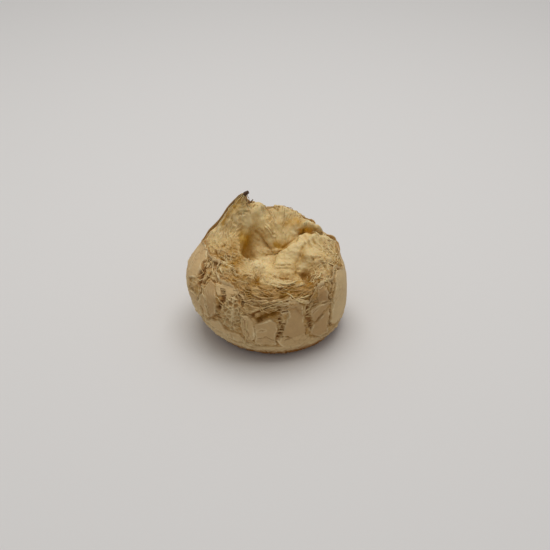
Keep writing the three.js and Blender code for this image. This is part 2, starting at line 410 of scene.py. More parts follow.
# %% [markdown]
# ## Torn dough
#
# Where the bread tore, its crumb was drawn out round the bread. What shows is the walls between its bubbles,
# stretched sideways and torn open, with a hollow behind some of them. Both the crumb and the cracks in the
# crust show it, so both share one relief. Plain noise would look like pumice, and noise squeezed to a tenth
# of its length like a woven mat; cells round scattered points keep the walls irregular.

# %% Relief of torn dough
# What tearing drew out, as (length round the bread, height) in millimetres
LONG_BUBBLES = (5.2, 1.5)
ROUND_BUBBLES = (3.8, 1.7)
SMALL_BUBBLES = (1.7, 0.9)
FIBRES = (1.6, 0.42)


def torn_dough(place, azimuth, below):
    """How high the bubble walls stand, and how open the hollows between them are, both from 0 to 1. Long low
    bubbles at the front, where the tear is widest, give way to rounder ones at the sides, and small ones lie
    in both; the rings that they lie on are bent by noise. A third of the bubbles are open, and fewer by the
    peak and on the right, where the dough pulled apart less."""
    swung = azimuth + 3.2 * noise(place, 5.0, 80)
    bent = below + 1.3 * noise(place, 6.5, 81) + 0.6 * noise(place, 2.4, 82)
    slant = 0.5 * hump(azimuth, 205, 30) * MM_PER_DEGREE * (azimuth - 205)
    long_wall, long_own = bubbles(on_ring(swung, bent, *LONG_BUBBLES), 1.0, 83)
    round_wall, round_own = bubbles(on_ring(swung, bent + slant, *ROUND_BUBBLES), 1.0, 101)
    small_wall, small_own = bubbles(on_ring(swung, bent + slant, *SMALL_BUBBLES), 1.0, 87)
    at_front = hump(azimuth, 275, 26)
    wall = 1 - fade((round_wall + (long_wall - round_wall) * at_front) / 0.34)
    small = 1 - fade(small_wall / 0.4)
    own = np.where(at_front > 0.5, long_own, round_own)
    gap = fade((own - 0.62) / 0.25) * (1 - wall) + 0.4 * fade((small_own - 0.78) / 0.2) * (1 - small)
    gap = gap * (1 - 0.6 * hump(azimuth, 345, 26)) * (1 - 0.7 * hump(azimuth, 178, 26))
    return np.clip(0.7 * wall + 0.25 * small + 0.35 * (own - 0.4), 0, 1), np.clip(gap, 0, 1)


def grain_of(place, azimuth, below):
    """A place for the material's own fine fibres, which are too thin for the mesh: they follow the same bent
    rings, less than half a millimetre apart."""
    bent = below + 1.2 * noise(place, 6.5, 81) + 0.9 * noise(place, 2.4, 82)
    return on_ring(azimuth + 3.2 * noise(place, 5.0, 80), bent, *FIBRES)


# A coarse grid over the bread, where each relief below is tried before it is used
TRIED_TURNS, TRIED_DEPTHS = np.meshgrid(np.arange(0.0, 360, 10), np.arange(4.0, 30, 2))
TRIED = on_form(TRIED_TURNS, TRIED_DEPTHS)
walls, gaps = torn_dough(TRIED, TRIED_TURNS, TRIED_DEPTHS)
print("torn dough is", walls.mean().round(2), "high on average, and open by", gaps.mean().round(2))

# %% [markdown]
# ## Open and hidden places
#
# Crumb deep in the crater or under an overhang is painted a darker, warmer yellow, as painted shade.
# Blender's ambient occlusion is made for a picture and can't be had as a number for each vertex, so a map of
# the bread's height stands in for it: how steeply does the bread rise round each place?

# %% How open each place is to the sky, which sets the painted shade
SKY_CELL = 0.8
SKY_TURNS = np.radians(np.arange(0, 360, 30))
SKY_DISTANCES = (1.2, 2.4, 4.0, 6.5, 10.0, 15.0)
SKY_MARGIN = 25  # cells round the bread, more than the longest distance
sky_cells = np.round(whole[..., :2].reshape(-1, 2) / SKY_CELL).astype(int)
sky_low = sky_cells.min(axis=0) - SKY_MARGIN
sky_map = np.zeros(sky_cells.max(axis=0) + SKY_MARGIN - sky_low)
np.maximum.at(sky_map, tuple((sky_cells - sky_low).T), whole[..., 2].ravel())


def openness(places):
    """1 on open ground and towards 0 in a hole. In twelve directions, the steepest slope up to the bread's
    surface a few distances away is the horizon, and a horizon at slope s leaves 1 / (1 + s^2) of the sky."""
    total = np.zeros(places.shape[:-1])
    for turn in SKY_TURNS:
        steepest = np.zeros(places.shape[:-1])
        for distance in SKY_DISTANCES:
            there = places[..., :2] + distance * np.array([np.cos(turn), np.sin(turn)])
            cell = np.round(there / SKY_CELL).astype(int) - sky_low
            cell = np.clip(cell, 0, np.array(sky_map.shape) - 1)
            rise = sky_map[cell[..., 0], cell[..., 1]] - places[..., 2]
            steepest = np.maximum(steepest, rise / distance)
        total += 1 / (1 + steepest**2)
    return total / len(SKY_TURNS)


print("the crater's pole sees", np.round(openness(on_form([0.0], [-20.0])), 2), "of the sky")

# %% [markdown]
# ## The crust
#
# The skin of this bread is dry starch, about half a millimetre thick. It set early in the oven and then
# tore as the inside swelled, so it is a field of smooth plates with ragged, slightly curled edges, and
# between them the torn dough shows, with a few deep cracks that threads of dough cross like the teeth of a
# zip. A bump in the material would look painted on from the side, so plates and cracks are real relief.

# %% Where the skin ends: a torn edge, as (azimuth, millimetres below the crest)
EDGE = [(0, 9), (15, 8), (30, 6), (60, 4), (90, 3.5), (120, 4), (138, 4.5), (148, 5), (153, 8), (156, 13)]
EDGE += [(159, 19), (164, 23), (173, 18), (184, 15), (196, 14), (206, 12), (222, 15), (236, 13), (244, 13.5)]
EDGE += [(250, 15.5), (258, 15), (267, 13.5), (278, 13), (286, 12), (296, 12), (303, 14), (312, 9), (320, 9)]
EDGE += [(330, 8), (340, 8), (350, 12)]


def torn_edge(azimuths):
    """The edge's points joined round the circle, plus coarse and fine noise that makes it ragged."""
    smooth = np.interp(azimuths, *np.array(EDGE, float).T, period=360)
    return smooth + 1.5 * noise_round(azimuths, 5, 3) + 0.8 * noise_round(azimuths, 1.6, 4)


edge_depths = torn_edge(measured_azimuths)
print("the skin ends", edge_depths.min().round(1), "to", edge_depths.max().round(1), "mm below the crest")

# %% Plates that show, as (tone, outline of azimuths and millimetres below the crest)
# The tone says how much browner a plate baked; below zero, it stayed paler, as if dusted with starch.
PLATES = [
    (0.0, [(156, 26), (164, 24), (173, 18.5), (182, 15.5), (191, 16), (194, 19), (199, 20), (201, 24)]
    + [(198, 27), (190, 31), (156, 31)]),
    (0.0, [(158, 34), (184, 35), (192, 34), (204, 31), (211, 29), (212, 34), (214, 39), (206, 45)]
    + [(160, 46)]),
    (0.3, [(215, 19), (220, 18), (225, 20), (228, 22), (230, 26), (229, 30), (224, 34), (221, 31), (219, 26)]
    + [(215, 23)]),
    (0.0, [(221, 17), (227, 15.5), (231, 18), (229, 20.5), (225, 19.5)]),
    (0.0, [(213, 25), (218, 25), (220, 31), (220, 36), (215, 37), (213, 31)]),
    (-0.2, [(223, 36), (231, 33), (237, 36), (248, 35), (252, 39), (240, 43), (228, 43), (218, 41)]),
    (0.0, [(253, 22), (258, 22), (260, 27), (259, 34), (254, 38), (251, 33), (252, 26)]),
    (0.13, [(261, 25), (267, 24), (274, 21.5), (277, 22.5), (278, 28), (278, 35), (269, 36), (260, 37)]
    + [(260, 31)]),
    (0.22, [(287, 13), (292, 12.5), (296, 14), (298, 16), (300, 22), (302, 30), (300, 34), (289, 32)]
    + [(283, 30), (285, 24)]),
    (0.3, [(308, 17), (313, 17.5), (321, 19.5), (322.5, 21), (313, 23.2), (307.5, 25), (306.5, 21)]),
    (0.5, [(312, 10), (317, 9.5), (323, 12), (322.5, 16), (321.5, 18.5), (313, 16)]),
    (-0.3, [(335, 11), (340, 9), (348, 12), (366, 11), (372, 32), (345, 37), (336, 35), (328, 33)]
    + [(327, 24), (329, 17)]),
    (0.3, [(308.5, 27), (313, 25.2), (320, 23.4), (323, 23.2), (324, 35), (316, 36), (308, 33)]),
    (-0.3, [(205, 47), (222, 44), (240, 44), (253, 40), (270, 38), (281, 37), (303, 37), (320, 38)]
    + [(340, 39), (372, 38), (372, 90), (150, 90), (150, 48)]),
]


def inside(flat, outline):
    """How far inside an outline each place of the flat map is, negative outside: the distance to its nearest
    side, with the sign from how many of its sides a line towards +x crosses."""
    corners = on_map(outline + outline[:1])
    distance, _ = to_path(flat, corners)
    within = np.zeros(flat.shape[:-1], bool)
    for (x0, y0), (x1, y1) in zip(corners[:-1], corners[1:]):
        spans = (y0 > flat[..., 1]) != (y1 > flat[..., 1])
        within ^= spans & (flat[..., 0] < x0 + (flat[..., 1] - y0) * (x1 - x0) / (y1 - y0 + TINY))
    return np.where(within, distance, -distance)


print(len(PLATES), "plates show")

# %% Plates at the back, which nobody placed: cells round scattered points
HIDDEN_PLATES = 46
HIDDEN_FROM, HIDDEN_TO = -8.0, 172.0
HIDDEN_MARGIN = 10.0  # degrees by which the points go on at each side
HIDDEN_BLEND = 14.0  # degrees over which the cells shrink away at each side
HIDDEN_TOP, HIDDEN_BOTTOM = 4.0, 60.0  # mm below the crest
GOLDEN_SHARE = 0.618  # of a whole turn, which spreads points evenly
PLATE_STRETCH = np.array([1, 1, 0.62])  # heights count for less, so that plates are taller than wide
rng = np.random.default_rng(7)
golden = np.arange(HIDDEN_PLATES) * GOLDEN_SHARE % 1
turns = HIDDEN_FROM - HIDDEN_MARGIN + golden * (HIDDEN_TO - HIDDEN_FROM + 2 * HIDDEN_MARGIN)
depths = HIDDEN_TOP + (HIDDEN_BOTTOM - HIDDEN_TOP) * (np.arange(HIDDEN_PLATES) + 0.5) / HIDDEN_PLATES
hidden_middles = on_form(turns + rng.uniform(-6, 6, HIDDEN_PLATES), depths)
plate_tones = np.array([0.0] * HIDDEN_PLATES + [tone for tone, _ in PLATES])


def inside_hidden(place, azimuth):
    """Which cell a place is in, and how far inside it: with the two nearest middles at distances a and b,
    and c between them, the border is (b^2 - a^2) / 2c away, less half a gap that widens and closes. The
    cells shrink to nothing towards the side that shows."""
    squares = (((place[..., None, :] - hidden_middles) * PLATE_STRETCH) ** 2).sum(axis=-1)
    first = squares.argmin(axis=-1)
    nearest = np.take_along_axis(squares, first[..., None], -1)[..., 0]
    np.put_along_axis(squares, first[..., None], np.inf, -1)
    other = squares.argmin(axis=-1)
    second = np.take_along_axis(squares, other[..., None], -1)[..., 0]
    apart = np.linalg.norm((hidden_middles[first] - hidden_middles[other]) * PLATE_STRETCH, axis=-1)
    gap = 0.3 + 1.1 * np.clip(noise(place, 8.0, 21) + 0.4, 0, 1)
    way_in = (azimuth - HIDDEN_FROM + 90) % 360 - 90
    way_out = HIDDEN_TO - HIDDEN_FROM - way_in
    shown = np.maximum(fade(1 - way_in / HIDDEN_BLEND), fade(1 - way_out / HIDDEN_BLEND))
    return first, (second - nearest) / (2 * apart) - gap - 8 * shown


print(HIDDEN_PLATES, "cells make the plates at the back")

# %% Cracks, as (path of azimuths and millimetres below the crest, half width, depth, share with teeth)
BROWNED_CRACK = [(264.5, 22.2), (270.5, 20), (277, 17)]  # a wide one, where the dough stayed moist
DEEP_CRACKS = [
    ([(279, 20), (282, 26.4), (280, 31.8)], 0.75, 0.6, 0.8),
    ([(302.5, 15.5), (304.5, 21), (305, 26), (307.5, 29.3)], 0.9, 0.65, 0.8),
    ([(328, 9), (330, 12), (326.5, 14), (324.5, 17), (325, 24), (328, 33.8)], 0.5, 1.4, 0.35),
    (BROWNED_CRACK, 1.45, 2.2, 0.0),
    ([(259.5, 20.8), (261.5, 19.3), (266, 17)], 0.7, 0.6, 0.0),
    ([(268, 16), (272, 14), (279, 14)], 0.45, 1.0, 0.0),
    ([(206, 23), (202, 21), (197, 17), (205, 13.5)], 1.3, 2.0, 0.8),
    ([(211, 22), (209, 18)], 0.8, 1.2, 0.5),
    ([(230, 17), (234, 21), (232.5, 25.5)], 1.0, 1.8, 0.4),
    ([(212, 24), (212, 30), (216, 37)], 0.5, 1.0, 0.3),
    ([(280, 12.8), (286, 12.6)], 0.3, 0.8, 0.0),
    ([(280.5, 15), (286, 14.5)], 0.35, 0.9, 0.0),
    ([(281.5, 17.4), (286, 16.8)], 0.3, 0.8, 0.0),
    ([(239, 28), (241, 29)], 0.8, 1.3, 0.0),
    ([(248, 15), (250, 18)], 0.6, 1.2, 0.0),
    ([(32, 12), (26, 22), (28, 34)], 0.8, 1.5, 0.7),
    ([(82, 8), (74, 22), (78, 36)], 0.8, 1.5, 0.7),
    ([(114, 12), (108, 26), (114, 40)], 0.7, 1.5, 0.7),
    ([(146, 14), (152, 28), (148, 42)], 0.8, 1.5, 0.7),
]
THIN_CRACKS = [
    [(308, 20.7), (312, 19), (317, 18)],
    [(286, 33.1), (290, 32.1), (294, 35.5)],
    [(217, 18), (222, 22), (229, 25)],
    [(219, 22), (224, 26)],
    [(262, 33), (270, 32), (277, 33)],
    [(262, 29), (270, 28.5)],
    [(255, 24), (255, 36)],
    [(170, 22), (184, 26), (192, 30)],
    [(288, 42), (296, 45), (306, 44)],
    [(246, 46), (256, 48), (262, 46)],
    [(330, 42), (340, 46)],
]
ZIP_SPACING = 2.0  # from tooth to tooth, in mm
print(len(DEEP_CRACKS), "deep cracks and", len(THIN_CRACKS), "thin ones")

# %% Other places on the crust
# Patches of lace, as (middle, reach)
LACE = [((238, 17.5), 5.0), ((243, 24), 7.0), ((241, 31), 5.0), ((40, 22), 6.0), ((130, 30), 6.0)]
WARP = ((5.0, 1.1, 11), (1.6, 0.5, 13), (0.7, 0.2, 15))  # (size, reach, seed) of what makes outlines ragged
SLUMP_START = 34.0  # mm below the crest, where the skin starts to lie in folds
CONTACT_SHADE_HEIGHT = 8.0  # below it, in mm, the crust is painted darker as contact shade near the floor
PEAK = whole.reshape(-1, 3)[whole[..., 2].argmax()]
PEAK_REACH = 2.6
CRUMB_PINCH = 1.1  # the crumb gives way a little more than the crust
SINGE = 1.4  # over 1, so that the tip is singed all round


def pinch(place):
    """How much thinner the peak is than the form, in mm, and how singed: a bell round its tip."""
    return bell(np.linalg.norm(place - PEAK, axis=-1), PEAK_REACH)


print("the peak's tip is at", (PEAK + TO_FRAME).round(1), "mm")

# %% Relief of the plates


def plates(place, azimuth, below, flat, uneven):
    """Level plates, about half a millimetre over the torn dough, with curled edges, a trench beside some of
    them that is painted darker as shadow, and fine crazing: the height, torn, hollow and pale, and how much
    darker each plate is."""
    plate, depth_inside = inside_hidden(place + 1.3 * layered(place, 4.0, 17)[..., None], azimuth)
    for k, (_, outline) in enumerate(PLATES):
        here = inside(flat, outline)
        plate = np.where(here > depth_inside, HIDDEN_PLATES + k, plate)
        depth_inside = np.maximum(depth_inside, here)
    own = np.stack([plate, 0 * plate, 0 * plate], axis=-1)
    level, tone = cell_random(own, 5), cell_random(own, 6)
    brown, dusted = np.maximum(plate_tones[plate], 0), np.maximum(-plate_tones[plate], 0)

    on_plate = fade(depth_inside / 0.4 + 0.5)
    curl = bell(depth_inside - 0.3, 0.3) * uneven
    trench = bell(depth_inside + 0.45, 0.35) * np.clip(noise(place, 3.5, 20) + 0.6, 0, 1)
    crazing, _ = bubbles(place + 0.8 * layered(place, 3.0, 45)[..., None], (4.2, 4.2, 2.8), 47)
    crazed = bell(crazing, 0.06) * np.clip(0.3 + 1.2 * noise(place, 6.0, 49), 0, 1)
    fibre, gap = torn_dough(place, azimuth, below)
    sunk = 0.55 + 0.35 * noise(place, 5.0, 23)
    bed = -sunk + 0.4 * fibre - 0.5 * gap + 0.15 * layered(place, 1.5, 25, 2) - 0.4 * trench
    skin = 0.34 * (level - 0.5) + 0.12 * layered(place, 4.0, 31) + 0.07 * layered(place, 0.9, 33, 2)
    skin += 0.38 * curl - 0.14 * crazed
    torn = 1 - on_plate
    # painted shadow: the trench beside a plate's edge is darkened to the hollow colour
    hollow = np.maximum(0.8 * gap, 0.6 * trench) * torn
    hollow = np.maximum(hollow, np.maximum(0.4 * crazed, brown) * on_plate)
    pale = np.maximum(np.maximum(0.95 * curl, dusted * on_plate), 0.5 * fibre**2 * torn)
    return bed + (skin - bed) * on_plate, torn, hollow, pale, 0.25 * (tone - 0.4) * on_plate


flat_tried = flat_map(TRIED_TURNS, TRIED_DEPTHS)
_, torn, *_ = plates(TRIED, TRIED_TURNS, TRIED_DEPTHS, flat_tried, 1.0)
print("plates cover", (1 - torn.mean()).round(2), "of the wall")

# %% Relief of the cracks


def thin_cracks(place, flat, wander, uneven):
    """Scores half a millimetre deep, with a pale lip beside them: the height, hollow and pale."""
    height, hollow, pale = np.zeros((3, *wander.shape))
    strength = np.clip(0.7 + noise(place, 3.0, 43), 0, 1)
    for path in THIN_CRACKS:
        distance, _ = to_path(flat + 0.4 * wander[..., None], on_map(path))
        score = bell(distance, 0.24) * strength
        height -= 0.45 * score
        hollow = np.maximum(hollow, 0.6 * score)
        pale = np.maximum(pale, 0.6 * bell(distance - 0.6, 0.28) * uneven)
    return height, hollow, pale


def deep_cracks(flat, torn, wander, uneven):
    """Cracks that dig in, with teeth of dough across, a raised and pale brim, and browned dough beside the
    widest: the height, hollow and pale."""
    height, hollow, pale = np.zeros((3, *wander.shape))
    for path, half_width, depth, toothed in DEEP_CRACKS:
        distance, along = to_path(flat, on_map(path))
        distance = distance + 0.5 * wander * np.sqrt(half_width)
        open_here = 1 - fade((distance - 0.4 * half_width) / (0.9 * half_width))
        tooth = toothed * bell(np.sin(np.pi * along / ZIP_SPACING + 1.6 * wander), 0.4)
        browned = bell(distance, 1.7 * half_width) * fade((half_width - 0.85) / 0.25)
        brim = bell(distance - 1.4 * half_width - 0.2, 0.35) * uneven
        height += 0.2 * brim - open_here * depth * (1 - 0.6 * tooth)
        hollow = np.maximum(hollow, np.maximum(open_here * (1 - 0.35 * tooth), browned * torn))
        pale = np.maximum(pale, np.maximum(0.3 * open_here * tooth, 0.6 * brim))
    return height, hollow, pale


height, *_ = deep_cracks(flat_tried, torn, 0 * torn, 1.0)
print("tried there, the deep cracks go down by up to", -height.min().round(1), "mm")

# %% Relief of the slumped skin and of the lace


def slumped_skin(place, azimuth, below, uneven):
    """Low down the skin lies in folds with pale rims, and wrinkles: the height, hollow and pale."""
    low_down = fade((below - SLUMP_START) / 7)
    rolls, _ = bubbles(on_ring(azimuth, below + 1.6 * noise(place, 5.0, 71), 8.0, 4.2), 1.0, 72)
    rim = bell(rolls - 0.16, 0.1) * uneven
    dip = bell(rolls, 0.07) * uneven
    wrinkles = ridges(place + 0.8 * noise(place, 3.0, 76)[..., None], (2.6, 2.6, 1.3), 77)
    height = low_down * (0.35 * layered(place, 4.0, 75) + 0.38 * rim - 0.5 * dip + 0.3 * wrinkles)
    return height, 0.6 * low_down * dip, low_down * (0.25 + 0.6 * rim + 0.25 * wrinkles)


def lace_of(place, flat):
    """How much of each place is lace, how high its mesh of thin ridges is, and how open its holes are."""
    lace = np.zeros(place.shape[:-1])
    for middle, reach in LACE:
        distance = np.linalg.norm(flat - flat_map(*middle), axis=-1)
        lace = np.maximum(lace, 1 - fade((distance / reach - 0.5) / 0.5))
    wall, own_hole = bubbles(place + 1.1 * noise(place, 2.6, 53)[..., None], (2.1, 2.1, 2.3), 51)
    mesh = 1 - fade(wall / 0.32)
    return lace, mesh, (1 - mesh) * fade((own_hole - 0.4) / 0.3)


lace, *_ = lace_of(TRIED, flat_tried)
print(len(LACE), "patches of lace cover", lace.mean().round(2), "of the wall")

# %% Relief of the whole crust


def crust_relief(place, azimuth, below, edge):
    """The height of the skin over the form, and four finishes from 0 to 1: torn, hollow, pale and moist.
    Over the plates come the cracks and the slumped skin, whose heights add up and of whose finishes the
    strongest counts. Then come the lace, the curled edge, the singed peak, painted contact shade near the
    floor, and the moist crack."""
    flat = flat_map(azimuth, below)
    for size, reach, seed in WARP:
        flat = flat + reach * np.stack([noise(place, size, seed), noise(place, size, seed + 1)], axis=-1)
    uneven = np.clip(noise(place, 2.5, 19) + 0.55, 0, 1)
    wander = layered(place, 2.2, 41, 2)
    height, torn, hollow, pale, darker = plates(place, azimuth, below, flat, uneven)
    layers = (
        thin_cracks(place, flat, wander, uneven),
        deep_cracks(flat, torn, wander, uneven),
        slumped_skin(place, azimuth, below, uneven),
    )
    for higher, more_hollow, paler in layers:
        height += higher
        hollow = np.maximum(hollow, more_hollow)
        pale = np.maximum(pale, paler)

    lace, mesh, hole = lace_of(place, flat)
    height += lace * torn * (0.8 * mesh - 0.4)
    pale = np.maximum(pale, lace * torn * (0.25 + 0.45 * mesh))
    hollow = np.maximum(hollow * (1 - 0.6 * lace), 0.7 * lace * torn * hole)

    at_edge = bell(below - edge, 0.9)
    height += 0.3 * at_edge * (0.5 + 0.8 * noise(on_ring(azimuth, below, 2.5, 9), 1.0, 61)) - pinch(place)
    # painted contact shade: the crust darkens to the hollow colour over the last few millimetres above the
    # floor
    contact_shade = fade((CONTACT_SHADE_HEIGHT - place[..., 2]) / 5)
    hollow = np.clip(np.maximum(hollow, np.maximum(SINGE * pinch(place), contact_shade)), 0, 1)
    pale = np.clip(pale + 0.4 * at_edge * uneven, 0, 1) * (1 - hollow)
    distance, _ = to_path(flat, on_map(BROWNED_CRACK))
    moist_and_bounce_light = 0.3 * bell(distance, 1.7) * torn
    return height, np.clip(torn + darker, 0, 1), hollow, pale, moist_and_bounce_light


height, *_ = crust_relief(TRIED, TRIED_TURNS, TRIED_DEPTHS, torn_edge(TRIED_TURNS))
print("on average the crust lies", height.mean().round(2), "mm over the form")

# %% [markdown]
# ## From arrays to a mesh
#
# Each layer is a grid of rings. Hidden rows inside the bread and a pole at each end close it, so that it is
# one body with an inside and an outside. foreach_set hands a whole array to Blender at once, where adding
# one vertex at a time would take minutes. The finishes go along as attributes, which the materials read.

# %% Meshes from whole arrays
FINISHES = ("torn", "hollow", "pale", "moist_and_bounce_light")


def add_finishes(mesh, values, grain):
    """Puts each finish, and the grain's place, on the mesh's vertices as attributes."""
    for label, value in zip(FINISHES, values):
        mesh.attributes.new(label, "FLOAT", "POINT").data.foreach_set("value", value.astype(np.float32))
    along = mesh.attributes.new("grain", "FLOAT_VECTOR", "POINT")
    along.data.foreach_set("vector", grain.astype(np.float32).ravel())


def add_piece(name, places, faces, values, grain):
    """A smooth mesh object from places in millimetres in the solid's frame, and faces as one array of corner
    numbers for each number of corners."""
    mesh = bpy.data.meshes.new(name)
    mesh.vertices.add(len(places))
    mesh.vertices.foreach_set("co", (places / 1000).ravel())
    mesh.loops.add(sum(part.size for part in faces))
    mesh.loops.foreach_set("vertex_index", np.concatenate([part.ravel() for part in faces]))
    sizes = np.concatenate([np.full(len(part), part.shape[1]) for part in faces])
    mesh.polygons.add(len(sizes))
    mesh.polygons.foreach_set("loop_start", np.cumsum(sizes) - sizes)
    mesh.polygons.foreach_set("loop_total", sizes)
    mesh.update(calc_edges=True)
    mesh.shade_smooth()
    add_finishes(mesh, values, grain)
    mesh.validate()
    piece = bpy.data.objects.new(name, mesh)
    bpy.context.scene.collection.objects.link(piece)
    print(name, "has", int((sizes - 2).sum()), "triangles")
    return piece


print("every piece can carry", FINISHES, "and its grain")

# %% Rings, their poles, and the lids that close them
CORE = np.array([4.0, 0.0, 20.0])  # a place deep inside, where the hidden rows meet
LID_DEPTH = 12.0
LID_SINK = 0.25  # how far the bend lies on the way from the skin to the core
LID_INNER = (0.12, 0.4, 0.7, 1.0)  # rows, as shares of the way from the core to the bend
LID_OUTER = (0.5, 0.85)  # and from the bend to the skin


def ring_faces(rows, columns):
    """Faces of a closed body of rings: quads between neighbouring rings, and a fan of triangles at each end
    to a pole. The poles are numbered after all the rings."""
    row, column = np.meshgrid(np.arange(rows - 1), np.arange(columns), indexing="ij")
    here, beside = row * columns + column, row * columns + (column + 1) % columns
    quads = np.stack([here, here + columns, beside + columns, beside], axis=-1).reshape(-1, 4)
    start, after = np.arange(columns), (np.arange(columns) + 1) % columns
    first = np.stack([start, after, np.full(columns, rows * columns)], axis=-1)
    last_row = (rows - 1) * columns
    last = np.stack([after + last_row, start + last_row, np.full(columns, rows * columns + 1)], axis=-1)
    return quads, np.vstack([first, last])


def with_poles(rings):
    """The rings' values in one list, followed by the mean of the first ring and of the last."""
    flat = rings.reshape(-1, *rings.shape[2:])
    return np.concatenate([flat, rings[:1].mean(axis=1), rings[-1:].mean(axis=1)])


def lid_rows(ring, azimuth, below):
    """The hidden rows that close a piece: from the core to a bend well under the skin, LID_DEPTH further
    down, and from there up to just under this ring. Straight rows would cut through the crater's hollows."""
    bend = on_form(azimuth, below + LID_DEPTH)
    bend = bend + LID_SINK * (CORE - bend)
    inner = [CORE + (bend - CORE) * part for part in LID_INNER]
    return np.stack(inner + [bend + (ring - bend) * part for part in LID_OUTER])


print("a lid has", len(LID_INNER) + len(LID_OUTER), "rows")

# %% Build the crust
# From the torn edge, rows go down the wall, a little wider apart towards the foot, and then in under it.
CRUST_COLUMNS, CRUST_ROWS, FOOT_ROWS = 510, 172, 8
LAST_FOOT_ROW = 0.97  # as a share of the way in to the pole
azimuths = columns_of(CRUST_COLUMNS)
edge = torn_edge(azimuths)
foot_edge = around(azimuths, foot_depths)
down = np.linspace(0, 1, CRUST_ROWS)[:, None]
on_wall = edge + (foot_edge - edge) * (0.8 * down + 0.2 * down**2)
inward = np.linspace(0, LAST_FOOT_ROW, FOOT_ROWS + 1)[1:, None]
on_foot = foot_edge + (around(azimuths, crest_at) - foot_edge) * inward
below = np.vstack([on_wall, on_foot])
skin = on_form(azimuths, below)
azimuth_grid = np.broadcast_to(azimuths, below.shape)
height, *finishes = crust_relief(skin, azimuth_grid, below, edge)
grain = grain_of(skin, azimuth_grid, below)
above_foot = 1 - fade((below - foot_edge + 6) / 5)  # the foot itself stays flat
skin = skin + normals_of(skin) * (height * above_foot)[..., None]
skin[..., 2] = np.maximum(skin[..., 2], 0)
lid = lid_rows(skin[0], azimuths, below[0])
hidden = np.zeros((len(lid), CRUST_COLUMNS))
crust = add_piece(
    "bread_crust",
    with_poles(np.vstack([lid, skin])) + TO_FRAME,
    ring_faces(len(lid) + len(skin), CRUST_COLUMNS),
    [with_poles(np.vstack([hidden, finish])) for finish in finishes],
    with_poles(np.vstack([np.repeat(grain[:1], len(lid), axis=0), grain])),
)
print("its skin stands", height.min().round(1), "to", height.max().round(1), "mm over the form")
